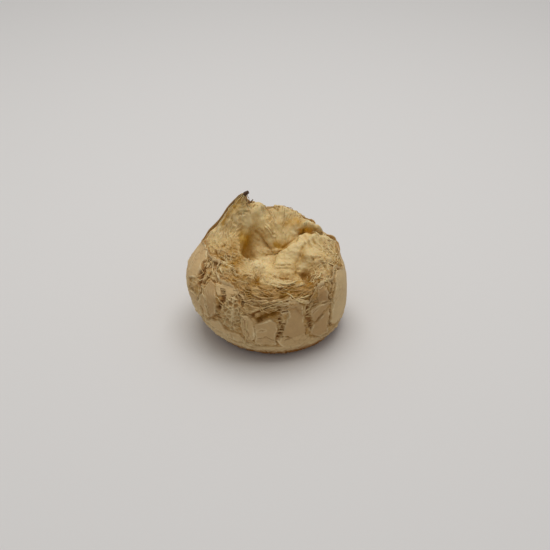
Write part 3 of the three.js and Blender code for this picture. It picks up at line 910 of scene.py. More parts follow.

# %% [markdown]
# ## The torn crumb
#
# Inside the crust this bread is stretchy and moist. In the crater it shows as smooth, creamy skins with soft
# puckers, painted a deeper yellow as shade where they lie deep. Round the rim it was pulled apart and dried
# to browned fibres. So the relief fades from the one to the other across the crest, and creases are cut where
# the folds of the crater meet.

# %% Creases of the crumb, as (path of azimuths and millimetres below the crest, half width, depth)
# A depth below zero is a ridge.
CREAM_RIDGE = [(52, -3.7), (47, -2), (42, -1.2), (34, -0.3), (27, 1.2), (25, 2.9), (25, 4.6)]
CREASES = [
    ([(141, -11), (126, -16), (109, -21)], 0.6, 0.8),
    ([(264, -11), (292, -8.4), (309, -7.1)], 0.35, 0.6),
    ([(268, -8.1), (303, -6.5)], 0.3, 0.3),
    ([(44, -2.3), (30, -1), (22, 1), (22, 3.3)], 1.5, -1.0),
    (CREAM_RIDGE, 0.7, -0.6),
    ([(206, -2.6), (200, -2.6), (192, -1.8), (182, -1.8), (174, -1.6)], 2.2, 1.3),
    ([(150, -23), (128, -24.8), (106, -22.6), (92, -19)], 1.0, -0.8),
    ([(109, -4.3), (104, -3)], 0.7, 0.5),
    ([(118, -7.6), (112, -7), (107, -7.2)], 0.3, -0.4),
    ([(117, -6.4), (111, -5.9), (106, -6.2)], 0.3, -0.4),
    ([(244, 1), (249, 4.8), (250, 6.3)], 0.9, 2.2),
    ([(84, -9.9), (71, -8.8), (53, -8.9), (41, -8.2)], 0.5, 0.5),
    ([(1, -1.5), (358, -1.2)], 0.5, 0.8),
    ([(341, -6), (330, -6.7), (320, -6.7), (314, -5)], 0.6, 0.6),
    ([(314, -5), (309, -4.3), (314, -2)], 0.9, 0.8),
    ([(354, -5), (341, -5.9), (332, -6.6)], 0.6, 0.5),
    ([(358, -3.2), (350, -3.6)], 0.5, 0.4),
    ([(348, -5.9), (334, -6.8)], 0.6, 0.9),
    ([(20, -5), (5, -4.5), (352, -3)], 0.6, 0.5),
    ([(48, -5.6), (10, -6.6), (348, -8)], 1.2, -0.5),
    ([(338, -3), (334, -1.2), (337, 0.2), (335, 1.6)], 0.45, -0.7),
    ([(337, -2.6), (340, 0.8)], 0.5, -0.7),
    ([(334, -1.8), (337, 0.6)], 0.5, 0.8),
    ([(105, -3), (103, -7)], 0.5, 0.6),
    ([(97, 1.4), (94, 0.4)], 0.6, 0.9),
    ([(89, -0.6), (86, 0.6)], 0.5, 0.6),
    ([(72, 1.6), (68, 1.4)], 0.5, 0.7),
    ([(63, 3.2), (60, 2.0)], 0.5, 0.7),
    ([(57, 1.4), (54, 0.6)], 0.5, 0.6),
    ([(92, 1.6), (82, 1.2)], 0.6, -0.7),
    ([(66, 1.8), (58, 2.4)], 0.6, -0.7),
    ([(101, -3.4), (96, -4.2)], 0.5, 0.5),
    ([(120, -2.2), (116, -3.0)], 0.6, 0.6),
    ([(110, -6), (104, -6.6), (98, -6.2)], 0.4, -0.45),
    ([(111, -7.3), (105, -7.8), (99, -7.4)], 0.4, -0.45),
    ([(316, -2), (311, 0.6)], 1.6, 1.1),
    ([(146, 2.1), (144, 1.9), (140, 1.6)], 1.3, 1.3),
    ([(156, 4.1), (155, 3.6)], 0.5, 0.6),
    ([(160, 5.6), (161, 5.0)], 0.5, 0.6),
    ([(154, -0.7), (152, -1.2)], 0.6, 0.6),
    ([(162, 2.3), (161, 1.4)], 0.6, 0.6),
    ([(166, 5.8), (167, 5)], 0.6, 0.6),
    ([(246, 12), (248.5, 10.8), (251, 12), (248.5, 13.5)], 0.4, 0.8),
    ([(252, 14), (256, 14)], 0.45, 0.9),
    ([(264, 11), (270, 11)], 0.5, 1.0),
    ([(277, 11), (280, 10), (284, 9)], 0.4, 0.9),
    ([(278, 12.3), (285, 12)], 0.35, 0.8),
    ([(286, 10.5), (292, 12)], 0.35, 0.6),
    ([(188, 7), (188.5, 8)], 0.6, 0.9),
    ([(192, 11), (193, 11.5)], 0.6, 0.9),
    ([(195, 4), (196, 4.6)], 0.5, 0.8),
    ([(190, 11.5), (198, 10.5), (206, 8.5)], 0.45, 0.9),
    ([(196, 9.5), (205, 7.5), (212, 6.5)], 0.45, 0.9),
    ([(194, 12.9), (203, 11.4), (210, 10.4)], 0.4, -0.6),
    ([(200, 8.6), (208, 7), (214, 6.6)], 0.4, -0.6),
    ([(208, 11), (216, 9)], 0.5, 0.8),
    ([(214, 6), (221, 8), (226, 7)], 0.5, 0.8),
    ([(318, 5), (316, 9)], 0.5, 0.8),
    ([(334, 3), (330, 7)], 0.45, 0.7),
]
# Dents, as (path, half width, depth): the dough sank here as it cooled, without baking darker.
DENTS = [
    ([(17, 1.4), (11, -1), (6, -3.4)], 1.8, 1.4),
    ([(18, 5), (14, 7), (6, 6)], 2.0, 0.5),
    ([(313, 1.5), (307, 6)], 2.2, 1.6),
    ([(281, -4), (290, -3), (299, 0.5)], 2.2, 0.5),
]
print(len(CREASES), "creases and", len(DENTS), "dents")

# %% Spots of colour on the crumb, each as (path, reach, share)
# Painted shade: where the crater's hollows and overhangs lie in shade, and by the moist crack where the dough
# browned, the crumb is painted darker and warmer:
PAINTED_SHADE_SPOTS = [
    ([(170, -3), (183, -2.6), (197, -2.8)], 2.2, 0.9),
    ([(174, -4), (190, -5), (205, -6)], 3.2, 0.9),
    ([(120, -18), (100, -14), (80, -14)], 2.6, 0.5),
    ([(45, -2.6), (34, -2.0), (25, -0.8), (22, 0.9), (22, 2.8)], 1.6, 0.95),
    ([(82, -3.6), (62, -3.4), (51, -2), (57, -1.6)], 2.6, 0.8),
    ([(110, -4.3), (102, -2.6)], 1.0, 0.7),
    ([(153, -9), (148, -13), (146, -17), (150, -21)], 2.6, 0.6),
    ([(162, -10), (164, -12), (172, -16)], 2.6, 0.6),
    ([(128, -24.8), (106, -22.6), (92, -19)], 1.5, 0.5),
    ([(281, -4), (290, -3), (299, 0.5)], 3.0, 0.6),
    ([(102, -9.5), (93, -9.6), (84, -9.9), (71, -8.8)], 2.7, 0.95),
    ([(65, -1.5), (56, -3.5)], 3.0, 0.35),
    ([(210, -0.6), (200, -0.8), (191, -0.6), (180, -0.6), (170, -2), (158, -5.3)], 2.2, 0.85),
    ([(244, 1), (249, 4.8), (250, 6.3)], 1.7, 0.9),
    ([(316, -1.5), (312, 1.5), (307, 6)], 2.7, 0.95),
    ([(160, 8), (157, 4), (153, 2)], 1.6, 0.4),
    ([(168, -5), (157, -12), (161, -10)], 3.0, 0.5),
    ([(141, -15), (154, -17)], 2.4, 0.3),
    ([(7, 7), (351, 9)], 2.6, 0.6),
    ([(162, 5), (150, 4), (164, 8)], 2.6, 0.45),
    ([(270, 21), (277, 17)], 2.2, 0.7),
    ([(190, 2), (196, 2.6), (204, 2.8), (215, 1.6), (214, 4.9)], 2.8, 0.85),
    ([(338, -5.7), (326, -6)], 2.2, 0.8),
    ([(316, -6), (308, -4.3), (296, 1.2)], 2.3, 0.8),
    ([(183, 12.4), (190, 10)], 2.2, 0.5),
    ([(139, -19.3), (150, -15.4)], 2.4, 0.8),
    ([(151, 5.6), (156, 6.2), (162, 8.4), (165, 9.6)], 2.0, 0.95),
    ([(143, 2.4), (136, 1)], 1.6, 0.7),
]
# Painted light: where rims, ridges and puffs catch the light, the crumb is painted paler:
PAINTED_LIGHT_SPOTS = [
    (CREAM_RIDGE, 1.0, 0.9),
    ([(319, -5.2), (325, -4.8)], 1.6, 0.8),
    ([(10, 1), (16, 5)], 3.6, 0.95),
    ([(235, -4.5), (222, -10), (216, -15.9)], 4.0, 0.95),
    ([(54, -4.2), (49, -4)], 1.8, 0.95),
    ([(122, -2), (120, -3)], 3.2, 0.9),
    ([(160, -3.8), (156, -3.4)], 2.6, 0.8),
    ([(20, 3.1), (16, 3.4)], 2.4, 0.9),
    ([(80, -2.5), (76, -2)], 2.2, 0.5),
    ([(42, -1.4), (38, -1)], 1.4, 0.9),
    ([(236, 9), (232, 8)], 2.4, 0.5),
]
# Painted bounce light: a glowing orange-yellow in the slit and the cavity, for the warm light that the yellow
# crumb bounces and lets through there:
PAINTED_BOUNCE_SPOTS = [
    ([(46, -2.7), (34, -1.6), (23, -0.6), (10, 0.9)], 2.1, 1.0),
    ([(68, -2.5), (57, -1.5)], 2.4, 0.35),
    ([(164, -10.6), (170, -6), (178, -3)], 3.2, 0.44),
    ([(159, 6), (155, 4.5)], 3.2, 0.25),
    ([(102, -9.5), (93, -9.6), (84, -9.9)], 2.0, 0.15),
]
print(len(PAINTED_SHADE_SPOTS), "warm spots,", len(PAINTED_LIGHT_SPOTS), "pale ones and", len(PAINTED_BOUNCE_SPOTS), "bounce-light ones")

# %% Relief of the creases, and how strong the spots are


def creased(place):
    """The creases, ridges and dents: the height, painted shade in the creases as hollow, and painted light on
    the ridges as pale. Each is a bell of the distance to its path, and noise bends the creases."""
    height, hollow, pale = np.zeros((3, *place.shape[:-1]))
    bent = noise(place, 1.5, 95)
    for path, half_width, depth in CREASES:
        distance, _ = to_path(place, on_skin(path))
        groove = bell(distance + 0.35 * half_width * bent, half_width)
        height -= depth * groove
        # painted shade: the groove darkens to the hollow colour; and painted light: a ridge turns pale
        hollow = np.maximum(hollow, 0.9 * groove * np.clip(depth, 0, 1))
        pale = np.maximum(pale, 0.7 * groove * np.clip(-depth, 0, 1))
    for path, half_width, depth in DENTS:
        distance, _ = to_path(place, on_skin(path))
        height -= depth * bell(distance, half_width)
    return height, hollow, pale


def strongest(place, spots):
    """The strongest of these spots at each place. Each is its share times a bell of the distance to it."""
    strength = np.zeros(place.shape[:-1])
    for path, reach, most in spots:
        distance, _ = to_path(place, on_skin(path))
        strength = np.maximum(strength, most * bell(distance, reach))
    return strength


def painted_front_shade(place, azimuth, below, puffs):
    """The band below the front lip, and how hollow that band, the patches left of it and the streaks on the
    lip
    itself look: painted shade, where the torn front faces away from the light. Each is a hump round the bread
    times a bell down it."""
    band = hump(azimuth, 281, 33) * fade((below - 4.6) / 2.2) * bell(np.maximum(below - 14, 0), 5)
    patches = fade(0.5 + 1.1 * noise(place, 3.2, 99))
    hollow = (0.15 + 0.35 * patches) * band
    hollow += (0.25 + 0.4 * patches) * 0.85 * hump(azimuth, 220, 16) * bell(below - 7, 5)
    streaks = fade(0.5 + 1.2 * noise(on_ring(azimuth, below + 0.6 * puffs, 7.0, 0.9), 1.0, 105))
    hollow += (0.18 + 0.5 * streaks) * hump(azimuth, 283, 26) * bell(below - 4, 3.4)
    return band, hollow


CRATER_DEPTHS = TRIED_DEPTHS - 24  # the same coarse grid, moved into the crater
CRATER = on_form(TRIED_TURNS, CRATER_DEPTHS)
height, *_ = creased(CRATER)
print("creases and ridges change the crater's height by", height.min().round(1), "to", height.max().round(1))

# %% Relief of the whole crumb


def crumb_relief(place, azimuth, below, edge):
    """The height of the crumb over the form, and the same four finishes. Outside the crest it is fibres and
    gaps, inside it is soft puffs and puckers that run down the wall; towards the crust it sinks under the
    skin. As painted shade, places that see little of the sky, the creases, the front band and the shade spots
    get the hollow colour. As painted light, ridges and light spots get pale; and the slit and the cavity get a
    glowing yellow, as painted bounce light."""
    drawn = fade((below + 4.5 + 3.5 * hump(azimuth, 275, 28)) / 7) * (1 - 0.2 * hump(azimuth, 90, 40))
    drawn = np.clip(drawn * (0.8 + 0.5 * noise(place, 5.0, 80)), 0, 1)
    fibre, gap = torn_dough(place, azimuth, below)
    puffs = layered(place, 4.5, 91)
    puckers = ridges(place + 1.2 * noise(place, 4.0, 85)[..., None], (2.4, 2.4, 7.0), 92)
    fuzz = layered(place, 1.3, 93, 2)

    height = 0.55 * puffs + drawn * (0.7 * fibre - 0.75 * gap - 0.25 + 0.16 * fuzz)
    height += (1 - drawn) * (0.16 * puckers + 0.17 * fuzz)
    creases, in_crease, on_ridge = creased(place)
    height += creases
    from_crack, _ = to_path(flat_map(azimuth, below), on_map(BROWNED_CRACK))
    height -= 1.2 * bell(from_crack, 1.6)

    mottled = 0.8 + 0.3 * fuzz
    # painted light: the light spots make the crumb pale and, below, take away its hollow colour
    paler = strongest(place, PAINTED_LIGHT_SPOTS) * mottled
    pale = drawn * np.clip(0.6 * fibre**1.5 + 0.25 * puffs, 0, 1)
    pale += 0.3 * (1 - drawn) * np.clip(0.5 + puffs, 0, 1)
    pale = np.maximum(np.maximum(pale, on_ridge), paler)

    hollow = np.maximum(0.85 * gap * drawn, in_crease)
    # painted shade: the shade spots pull the crumb towards the hollow colour
    hollow = np.maximum(hollow, strongest(place, PAINTED_SHADE_SPOTS) * mottled)
    # painted shade: crumb that sees little of the sky is darkened to the hollow colour
    hollow = np.maximum(hollow, 0.85 * fade((0.64 - openness(place)) / 0.4))
    hollow = hollow * (1 - 0.9 * np.clip(paler, 0, 1))
    hollow += 0.25 * (1 - drawn) * fade(1.6 * noise(place, 4.5, 103) - 0.1)
    # painted shade: the front band is painted browner and less pale, as it faces away from the light
    band, more_hollow = painted_front_shade(place, azimuth, below, puffs)
    flank = hump(azimuth, 155, 14) * bell(below - 4, 4)  # below the peak: painted lighter, as light where it lies in shade, and warmer in tint
    hollow += more_hollow + 0.15 * flank
    pale = pale * (1 - 0.8 * band)

    under = fade((below - edge + 2.5) / 2.5)
    height -= 0.5 * under + 1.0 * fade((below - edge) / 1.5)
    torn = drawn * (0.6 + 0.5 * layered(place, 6.0, 97, 2)) + 0.5 * under + 1.0 * band
    torn = np.clip(torn - 0.6 * flank, 0, 1)
    height -= CRUMB_PINCH * pinch(place)
    hollow = np.clip(np.maximum(hollow, SINGE * pinch(place)), 0, 1)
    pale = np.clip(pale, 0, 1) * (1 - hollow)
    # painted bounce light: the glowing yellow spots go out as the fourth finish
    return height, torn, hollow, pale, strongest(place, PAINTED_BOUNCE_SPOTS)


height, _, hollow, *_ = crumb_relief(CRATER, TRIED_TURNS, CRATER_DEPTHS, torn_edge(TRIED_TURNS))
print("in the crater the crumb is", hollow.mean().round(2), "hollow on average")

# %% Build the crumb
CRUMB_COLUMNS, CRUMB_ROWS = 510, 180
UNDER_CRUST = 5.0  # how far the crumb goes on under the crust, in mm
POLE_GAP = 0.015  # how near the first ring is to the crater's pole, as a share of the way
azimuths = columns_of(CRUMB_COLUMNS)
edge = torn_edge(azimuths)
outward = np.linspace(POLE_GAP, 1, CRUMB_ROWS)[:, None]
below = (edge + UNDER_CRUST) * outward - around(azimuths, pole_depths) * (1 - outward)
core = on_form(azimuths, below)
azimuth_grid = np.broadcast_to(azimuths, below.shape)
height, *finishes = crumb_relief(core, azimuth_grid, below, edge)
grain = grain_of(core, azimuth_grid, below)
core = core + normals_of(core) * height[..., None]
lid = lid_rows(core[-1], azimuths, below[-1])[::-1]
hidden = np.zeros((len(lid), CRUMB_COLUMNS))
crumb = add_piece(
    "bread_crumb",
    with_poles(np.vstack([core, lid])) + TO_FRAME,
    ring_faces(len(core) + len(lid), CRUMB_COLUMNS),
    [with_poles(np.vstack([finish, hidden])) for finish in finishes],
    with_poles(np.vstack([grain, np.repeat(grain[-1:], len(lid), axis=0)])),
)
print("it stands", height.min().round(1), "to", height.max().round(1), "mm over the form")

# %% [markdown]
# ## Threads of dough
#
# Where the torn parts pulled away from each other, threads of dough still hang between them: along the rim,
# across the cracks, and as loose hairs in the crater. Relief can't lift off its own surface, so these are
# thin tubes laid over it, in one mesh. Hair curves would look as fine, but a solid piece can't be cut from
# them.

# %% Tubes along many paths at once
SIDES = 5
FLATNESS = 0.7  # a tube's thickness as a share of its width
FIBRE_SPACING = 0.4  # between the finest fibres along a tube or a strip, in mm


def tubes(paths, radii, ups):
    """The rings of a tube along each path: at each point, a ring of places round it, across the path's own
    direction. The ring is as wide as the radius sideways, and flatter towards its up direction."""
    ahead = np.gradient(paths, axis=1)
    side = np.cross(ahead, ups)
    side /= np.maximum(np.linalg.norm(side, axis=-1, keepdims=True), TINY)
    up = np.cross(side, ahead)
    up /= np.maximum(np.linalg.norm(up, axis=-1, keepdims=True), TINY)
    turn = np.arange(SIDES) / SIDES * 2 * np.pi
    ring = np.cos(turn)[:, None] * side[:, :, None] + FLATNESS * np.sin(turn)[:, None] * up[:, :, None]
    return paths[:, :, None] + radii[:, :, None, None] * ring


def tube_piece(name, rings, values):
    """One mesh of all the tubes, each closed by a pole at both ends. Values are three finishes of each ring,
    which its corners and the pole beside it share; the fourth, moist and bounce light, isn't written and so
    counts as 0."""
    count, length = rings.shape[:2]
    quads, fans = ring_faces(length, SIDES)
    step = np.arange(count)[:, None, None] * (length * SIDES + 2)
    faces = (quads + step).reshape(-1, 4), (fans + step).reshape(-1, 3)
    ends = [rings[:, :1].mean(axis=2), rings[:, -1:].mean(axis=2)]
    places = np.concatenate([rings.reshape(count, -1, 3), *ends], axis=1).reshape(-1, 3)
    spread = []
    for value in values:
        corners = np.repeat(value, SIDES, axis=1)
        spread.append(np.concatenate([corners, value[:, :1], value[:, -1:]], axis=1).ravel())
    return add_piece(name, places + TO_FRAME, faces, spread, places / FIBRE_SPACING)


def lay_out(azimuth, below):
    """Places on the form, thinned at the peak as the crumb is, and the outward normals there: the cross
    product of the steps between places a little way off, down and round the form."""
    little = 0.4
    aside = little / MM_PER_DEGREE
    down = on_form(azimuth, below + little) - on_form(azimuth, below - little)
    round_it = on_form(azimuth + aside, below) - on_form(azimuth - aside, below)
    normal = np.cross(down, round_it)
    normal /= np.linalg.norm(normal, axis=-1, keepdims=True)
    place = on_form(azimuth, below)
    return place - CRUMB_PINCH * pinch(place)[..., None] * normal, normal


print("a thread has", SIDES, "sides")

# %% Where the threads lie
THREAD_POINTS = 7
# Each zone: azimuths from and to, depths below the crest from and to, count, shortest and longest in mm,
# the thickest radius, how steeply they slant in degrees, how high they arch, and how brown they may be.
THREAD_ZONES = [
    ((238, 316), (6, 17), 70, (3, 10), 0.2, 14, 0.3, 1.3),
    ((200, 240), (3, 15), 40, (3, 8), 0.2, 28, 0.4, 0.8),
    ((160, 205), (5, 15), 24, (2, 5), 0.16, 30, 0.25, 0.8),
    ((308, 360), (0, 10), 80, (2, 6), 0.2, 45, 0.5, 0.5),
    ((0, 18), (0, 6), 24, (2, 6), 0.2, 30, 0.4, 0.6),
    ((50, 150), (-1.5, 4), 80, (1.5, 5), 0.2, 45, 0.5, 1.0),
    ((65, 135), (-8, -1), 36, (1.5, 4), 0.12, 40, 0.25, 0.5),
    ((240, 300), (-2, 7), 60, (2.5, 8), 0.18, 12, 0.25, 0.8),
    ((252, 285), (13, 17.5), 26, (3, 7), 0.24, 12, 0.5, 1.1),
    ((148, 162), (1, 10), 40, (2, 6), 0.2, 50, 0.3, 0.75),
    ((215, 250), (-7, 0), 60, (1.2, 3.2), 0.11, 60, 0.7, 0.3),
    ((204, 252), (16, 34), 30, (1.5, 4), 0.16, 50, 0.2, 0.5),
]
rng = np.random.default_rng(11)
laid = []
for (turn_from, turn_to), (high, low), count, (short, long), thick, slant, arch, brown in THREAD_ZONES:
    middle_turn = rng.uniform(turn_from, turn_to, (count, 1))
    middle_below = rng.uniform(high, low, (count, 1))
    length = short + (long - short) * rng.random((count, 1)) ** 1.6
    heading = np.radians(rng.normal(0, slant, (count, 1)))
    t = np.linspace(-0.5, 0.5, THREAD_POINTS)
    arched = 1 - 4 * t**2
    bend = rng.normal(0, 0.12, (count, 1)) * length * arched
    azimuth = middle_turn + length * np.cos(heading) * t / MM_PER_DEGREE
    depth = middle_below + length * np.sin(heading) * t + bend
    depth = depth + 0.12 * rng.normal(0, 1, (count, THREAD_POINTS))
    place, normal = lay_out(azimuth, depth)
    lift = 0.15 + arch * rng.random((count, 1)) * arched
    lift = lift + 0.1 * rng.normal(0, 1, (count, THREAD_POINTS))
    radius = thick * rng.uniform(0.5, 1.0, (count, 1)) * (1 - (2 * np.abs(t)) ** 3 * 0.85)
    tone = np.clip(rng.uniform(brown - 0.6, brown, (count, 1)), 0, 1) + 0 * t
    laid.append((place + lift[..., None] * normal, radius, normal, tone))
print(sum(len(entry[0]) for entry in laid), "hairs and threads")

# %% Teeth of dough across the deep cracks
rng = np.random.default_rng(3)
for path, half_width, depth, toothed in DEEP_CRACKS:
    corners = np.array(path, float) * (MM_PER_DEGREE, 1)
    stretches = np.diff(corners, axis=0)
    lengths = np.linalg.norm(stretches, axis=1)
    along = np.arange(0, lengths.sum(), ZIP_SPACING)
    along = along + ZIP_SPACING * rng.uniform(-0.2, 0.2, len(along))
    along = along[rng.random(len(along)) < toothed]
    count = len(along)
    reached = np.concatenate([[0], np.cumsum(lengths)])
    middle = np.stack([np.interp(along, reached, corners[:, axis]) for axis in range(2)], axis=-1)
    part = np.clip(np.searchsorted(reached, along) - 1, 0, len(lengths) - 1)
    ahead = stretches[part] / lengths[part, None]
    across = np.stack([-ahead[:, 1], ahead[:, 0]], axis=-1) + 0.22 * ahead * rng.normal(0, 1, (count, 1))
    t = np.linspace(-1, 1, THREAD_POINTS)
    spot = middle[:, None] + (1.3 * half_width + 0.3) * t[:, None] * across[:, None]
    place, normal = lay_out(spot[..., 0] / MM_PER_DEGREE, spot[..., 1])
    sag = -0.15 - 0.35 * depth * rng.uniform(0.3, 1, (count, 1)) * (1 - t**2)
    radius = rng.uniform(0.2, 0.42, (count, 1)) * (1 - 0.5 * np.abs(t) ** 3)
    tone = rng.uniform(0.45, 1, (count, 1)) + 0 * t
    laid.append((place + sag[..., None] * normal, radius, normal, tone))
print(sum(len(entry[0]) for entry in laid[-len(DEEP_CRACKS) :]), "teeth")

# %% Cords that stand out along the front lip and over the torn front, placed one by one
# Each is a path of azimuths and millimetres below the crest, a radius, and how brown it is. It is laid as
# three tubes end to end, so that all tubes have the same number of points.
CORD_PARTS = 3
CORD_POINTS = CORD_PARTS * THREAD_POINTS
CORDS = [
    ([(257, 1.5), (264, 2.2), (271, 3), (278, 3.8), (285, 4), (291, 3), (297, 1.5)], 0.5, 0.25),
    ([(259, 5.5), (263, 5), (268, 5.2), (273, 5.6), (279, 5.2)], 0.45, 0.3),
    ([(281, 8.6), (285, 9.6), (289, 11.2), (294, 13), (299, 14.2)], 0.34, 0.3),
    ([(250, 20), (251, 24), (251.5, 27), (252, 31)], 0.24, 0.4),
    ([(256, 23), (255, 28), (253.5, 34), (252, 38), (251, 43)], 0.24, 0.4),
    ([(206, 9.5), (210, 9), (215, 8), (221, 6.5)], 0.42, 0.1),
    ([(207, 12.2), (212, 11.8), (218, 12.4)], 0.38, 0.1),
    ([(196, 13.4), (199, 12), (203, 11)], 0.34, 0.1),
    ([(294, 11.2), (298, 11.6), (303, 11)], 0.34, 0.2),
    ([(295, 13.4), (299, 13.2), (303, 13.6)], 0.34, 0.2),
    ([(310, 6.5), (314, 4.6), (319, 5.6), (324, 4.4), (328, 6)], 0.3, 0.0),
    ([(313, 9), (318, 7.6), (322, 8.8), (326, 7.8)], 0.28, 0.0),
    ([(334, 2), (338, 4), (341, 7), (340, 10)], 0.28, 0.05),
    ([(263, 17.6), (267, 16.2), (273, 14.2), (281, 13.2)], 0.3, 0.6),
    ([(262, 15.5), (268, 13.8), (274, 12.2), (280, 11.9)], 0.3, 0.6),
    ([(254, 12.4), (260, 12.6), (266, 12), (272, 11)], 0.3, 0.7),
]


def between(values, steps):
    """Values of each path's points, blended at steps that lie between two points."""
    low = np.floor(steps).astype(int)
    high = np.minimum(low + 1, values.shape[1] - 1)
    part = (steps - low)[:, None]
    return values[:, low] * (1 - part) + values[:, high] * part


for corners, radius, tone in CORDS:
    t = np.linspace(-1, 1, CORD_POINTS)
    known = np.linspace(-1, 1, len(corners))
    azimuth, depth = (np.interp(t, known, axis)[None] for axis in np.array(corners, float).T)
    place, normal = lay_out(azimuth, depth)
    lift = 0.25 + 0.15 * np.sin(3 * t + azimuth[:, :1])
    thinning = radius * (1 - 0.7 * np.abs(t) ** 4) * (1 + 0.2 * np.sin(7 * t + azimuth[:, :1]))
    cord = (place + lift[..., None] * normal, thinning[..., None], normal)
    for start in range(0, CORD_POINTS, THREAD_POINTS):
        steps = np.linspace(start, min(start + THREAD_POINTS, CORD_POINTS - 1), THREAD_POINTS)
        path, width, up = (between(values, steps) for values in cord)
        laid.append((path, width[..., 0], up, tone + 0 * width[..., 0]))

paths, radii, ups, tones = (np.concatenate(column) for column in zip(*laid))
threads = tube_piece(
    "dough_threads",
    tubes(paths, radii, ups),
    [0.85 * tones, 0.4 * tones**2, 0.5 * (1 - tones)],
)

# %% [markdown]
# ## The hook on the peak, and the lifted lip of the crust
#
# At the peak the crust was pulled up into a thin flap, which singed dark and curled over. All along the tear
# the crust lifts off the crumb by about a millimetre and its cut edge browned. Both are strips: a flat tube
# for the hook, and for the lip a ribbon that follows the torn edge and leans out by a random amount.

# %% The singed hook, and splinters beside it, as rows of (x, y, z, radius, how singed)
HOOKS = [
    [
        (-19.4, 12.0, 51.0, 0.2, 0.3),
        (-18.5, 12.0, 52.6, 0.26, 0.4),
        (-16.9, 12.1, 55.6, 0.3, 0.5),
        (-15.2, 12.0, 58.2, 0.34, 0.6),
        (-13.2, 12.2, 59.8, 0.5, 0.7),
        (-11.8, 12.4, 60.9, 0.75, 0.9),
        (-10.5, 12.5, 61.8, 1.0, 1.0),
        (-9.2, 12.6, 62.6, 1.1, 1.0),
        (-8.0, 12.6, 63.4, 0.95, 1.0),
    ],
    [
        (-10.6, 11.0, 58.8, 0.3, 0.6),
        (-9.8, 11.4, 58.2, 0.5, 0.55),
        (-8.8, 11.8, 57.9, 0.55, 0.5),
        (-7.8, 12.2, 58.0, 0.5, 0.5),
        (-6.8, 12.4, 58.5, 0.42, 0.6),
        (-6.0, 12.5, 59.6, 0.25, 0.7),
    ],
]
HOOK_POINTS = 24
HOOK_FACING = np.array([-0.6, -0.4, 0.7])  # where the flap's flat side faces


def evenly(rows):
    """HOOK_POINTS rows at even steps from the first of these rows to the last."""
    steps = np.linspace(0, len(rows) - 1, HOOK_POINTS)
    return np.stack([np.interp(steps, np.arange(len(rows)), values) for values in zip(*rows)], axis=-1)


hook_rows = np.stack([evenly(rows) for rows in HOOKS])
hook_paths, hook_radii, hook_tones = hook_rows[..., :3], hook_rows[..., 3], hook_rows[..., 4]
hook_radii = hook_radii * (1 + 0.15 * noise(hook_paths, 1.3, 66))
hook = tube_piece(
    "singed_hook",
    tubes(hook_paths, hook_radii, np.broadcast_to(HOOK_FACING, hook_paths.shape)),
    [1 + 0 * hook_tones, hook_tones, 0 * hook_tones],
)

# %% The lifted lip of the crust
# Six lines run along it: two at its root, the middle and the tip of its outside, and the same of its inside.
LIP_COLUMNS = 900
LIP_THICKNESS, LIP_REACH = 0.42, 1.5  # in mm
turn = np.arange(LIP_COLUMNS) / LIP_COLUMNS * 360
ragged = np.clip(0.45 + 0.6 * noise_round(turn, 4.0, 63), 0, 1)
ragged = np.clip(ragged + 0.35 * noise_round(turn, 1.1, 64), 0.04, 1) * (1 - 0.8 * hump(turn, 143, 8))
standing = hump(turn, 159, 9) + 0.7 * hump(turn, 5, 7)
lean = np.maximum(np.clip(0.5 + 0.8 * noise_round(turn, 6.0, 65), 0.1, 1), standing)
reach = LIP_REACH * ragged * (1 - standing) + (0.8 + 0.8 * noise_round(turn, 3.0, 67)) * standing
lip_edge = torn_edge(turn)
root, root_up = lay_out(turn, lip_edge + 0.9)
tip, tip_up = lay_out(turn, lip_edge + 0.3 - reach * (1 - 0.6 * lean))
middle_up = (0.25 + 0.3 * reach * lean)[:, None] * tip_up
raised = tip + (0.2 + reach * lean)[:, None] * tip_up
thick = LIP_THICKNESS * tip_up
lip_rings = np.stack(
    [
        root - 0.5 * root_up,
        root + 0.12 * root_up,
        (root + tip) / 2 + middle_up,
        raised,
        raised - thick,
        (root + tip) / 2 + middle_up - thick - 0.2 * root_up,
    ]
)
browned = np.clip(0.15 + hump(turn, 160, 30) + 0.5 * hump(turn, 270, 45) + 0.5 * hump(turn, 105, 30), 0, 1)
lip_torn = np.outer([0, 0, 0.1, 0.4, 0.7, 0.7], 1 + 0 * turn)
lip_hollow = np.outer([0, 0, 0, 0.25, 0.45, 0.3], browned)
lip_hollow = np.maximum(lip_hollow, np.outer([0, 0, 0.1, 0.5, 0.6, 0.4], standing))
lip_pale = np.outer([0, 0.1, 0.4, 0.4, 0, 0], ragged)
row, column = np.meshgrid(np.arange(len(lip_rings)), np.arange(LIP_COLUMNS), indexing="ij")
after, under = (column + 1) % LIP_COLUMNS, (row + 1) % len(lip_rings)
corners = ((row, column), (row, after), (under, after), (under, column))
lip_faces = np.stack([line * LIP_COLUMNS + place for line, place in corners], axis=-1)
lip = add_piece(
    "crust_lip",
    lip_rings.reshape(-1, 3) + TO_FRAME,
    [lip_faces.reshape(-1, 4)],
    [value.ravel() for value in (lip_torn, lip_hollow, lip_pale)],
    lip_rings.reshape(-1, 3) / FIBRE_SPACING,
)

# %% [markdown]
# ## Materials
#
# Crust, crumb and threads are the same dough, so they share one way of colouring: a base colour, which torn
# dough, hollows, moist spots and pale threads pull away from. The hollow share also carries painted shade,
# the pale share painted light, and the moist share painted bounce light in the crater. The shares come from
# the attributes that the relief wrote, so colour and shape agree. The alternative, painting by slope or by
# pointiness, would colour every bump the same way and can't know which hollow is a crack.

# %% Helpers for materials


def linear(hex_colour):
    """The linear RGBA of an sRGB hex colour, by the sRGB curve."""
    srgb = np.array([int(hex_colour[i : i + 2], 16) for i in (1, 3, 5)]) / 255
    low, high = srgb / 12.92, ((srgb + 0.055) / 1.055) ** 2.4
    return (*np.where(srgb <= 0.04045, low, high).tolist(), 1.0)


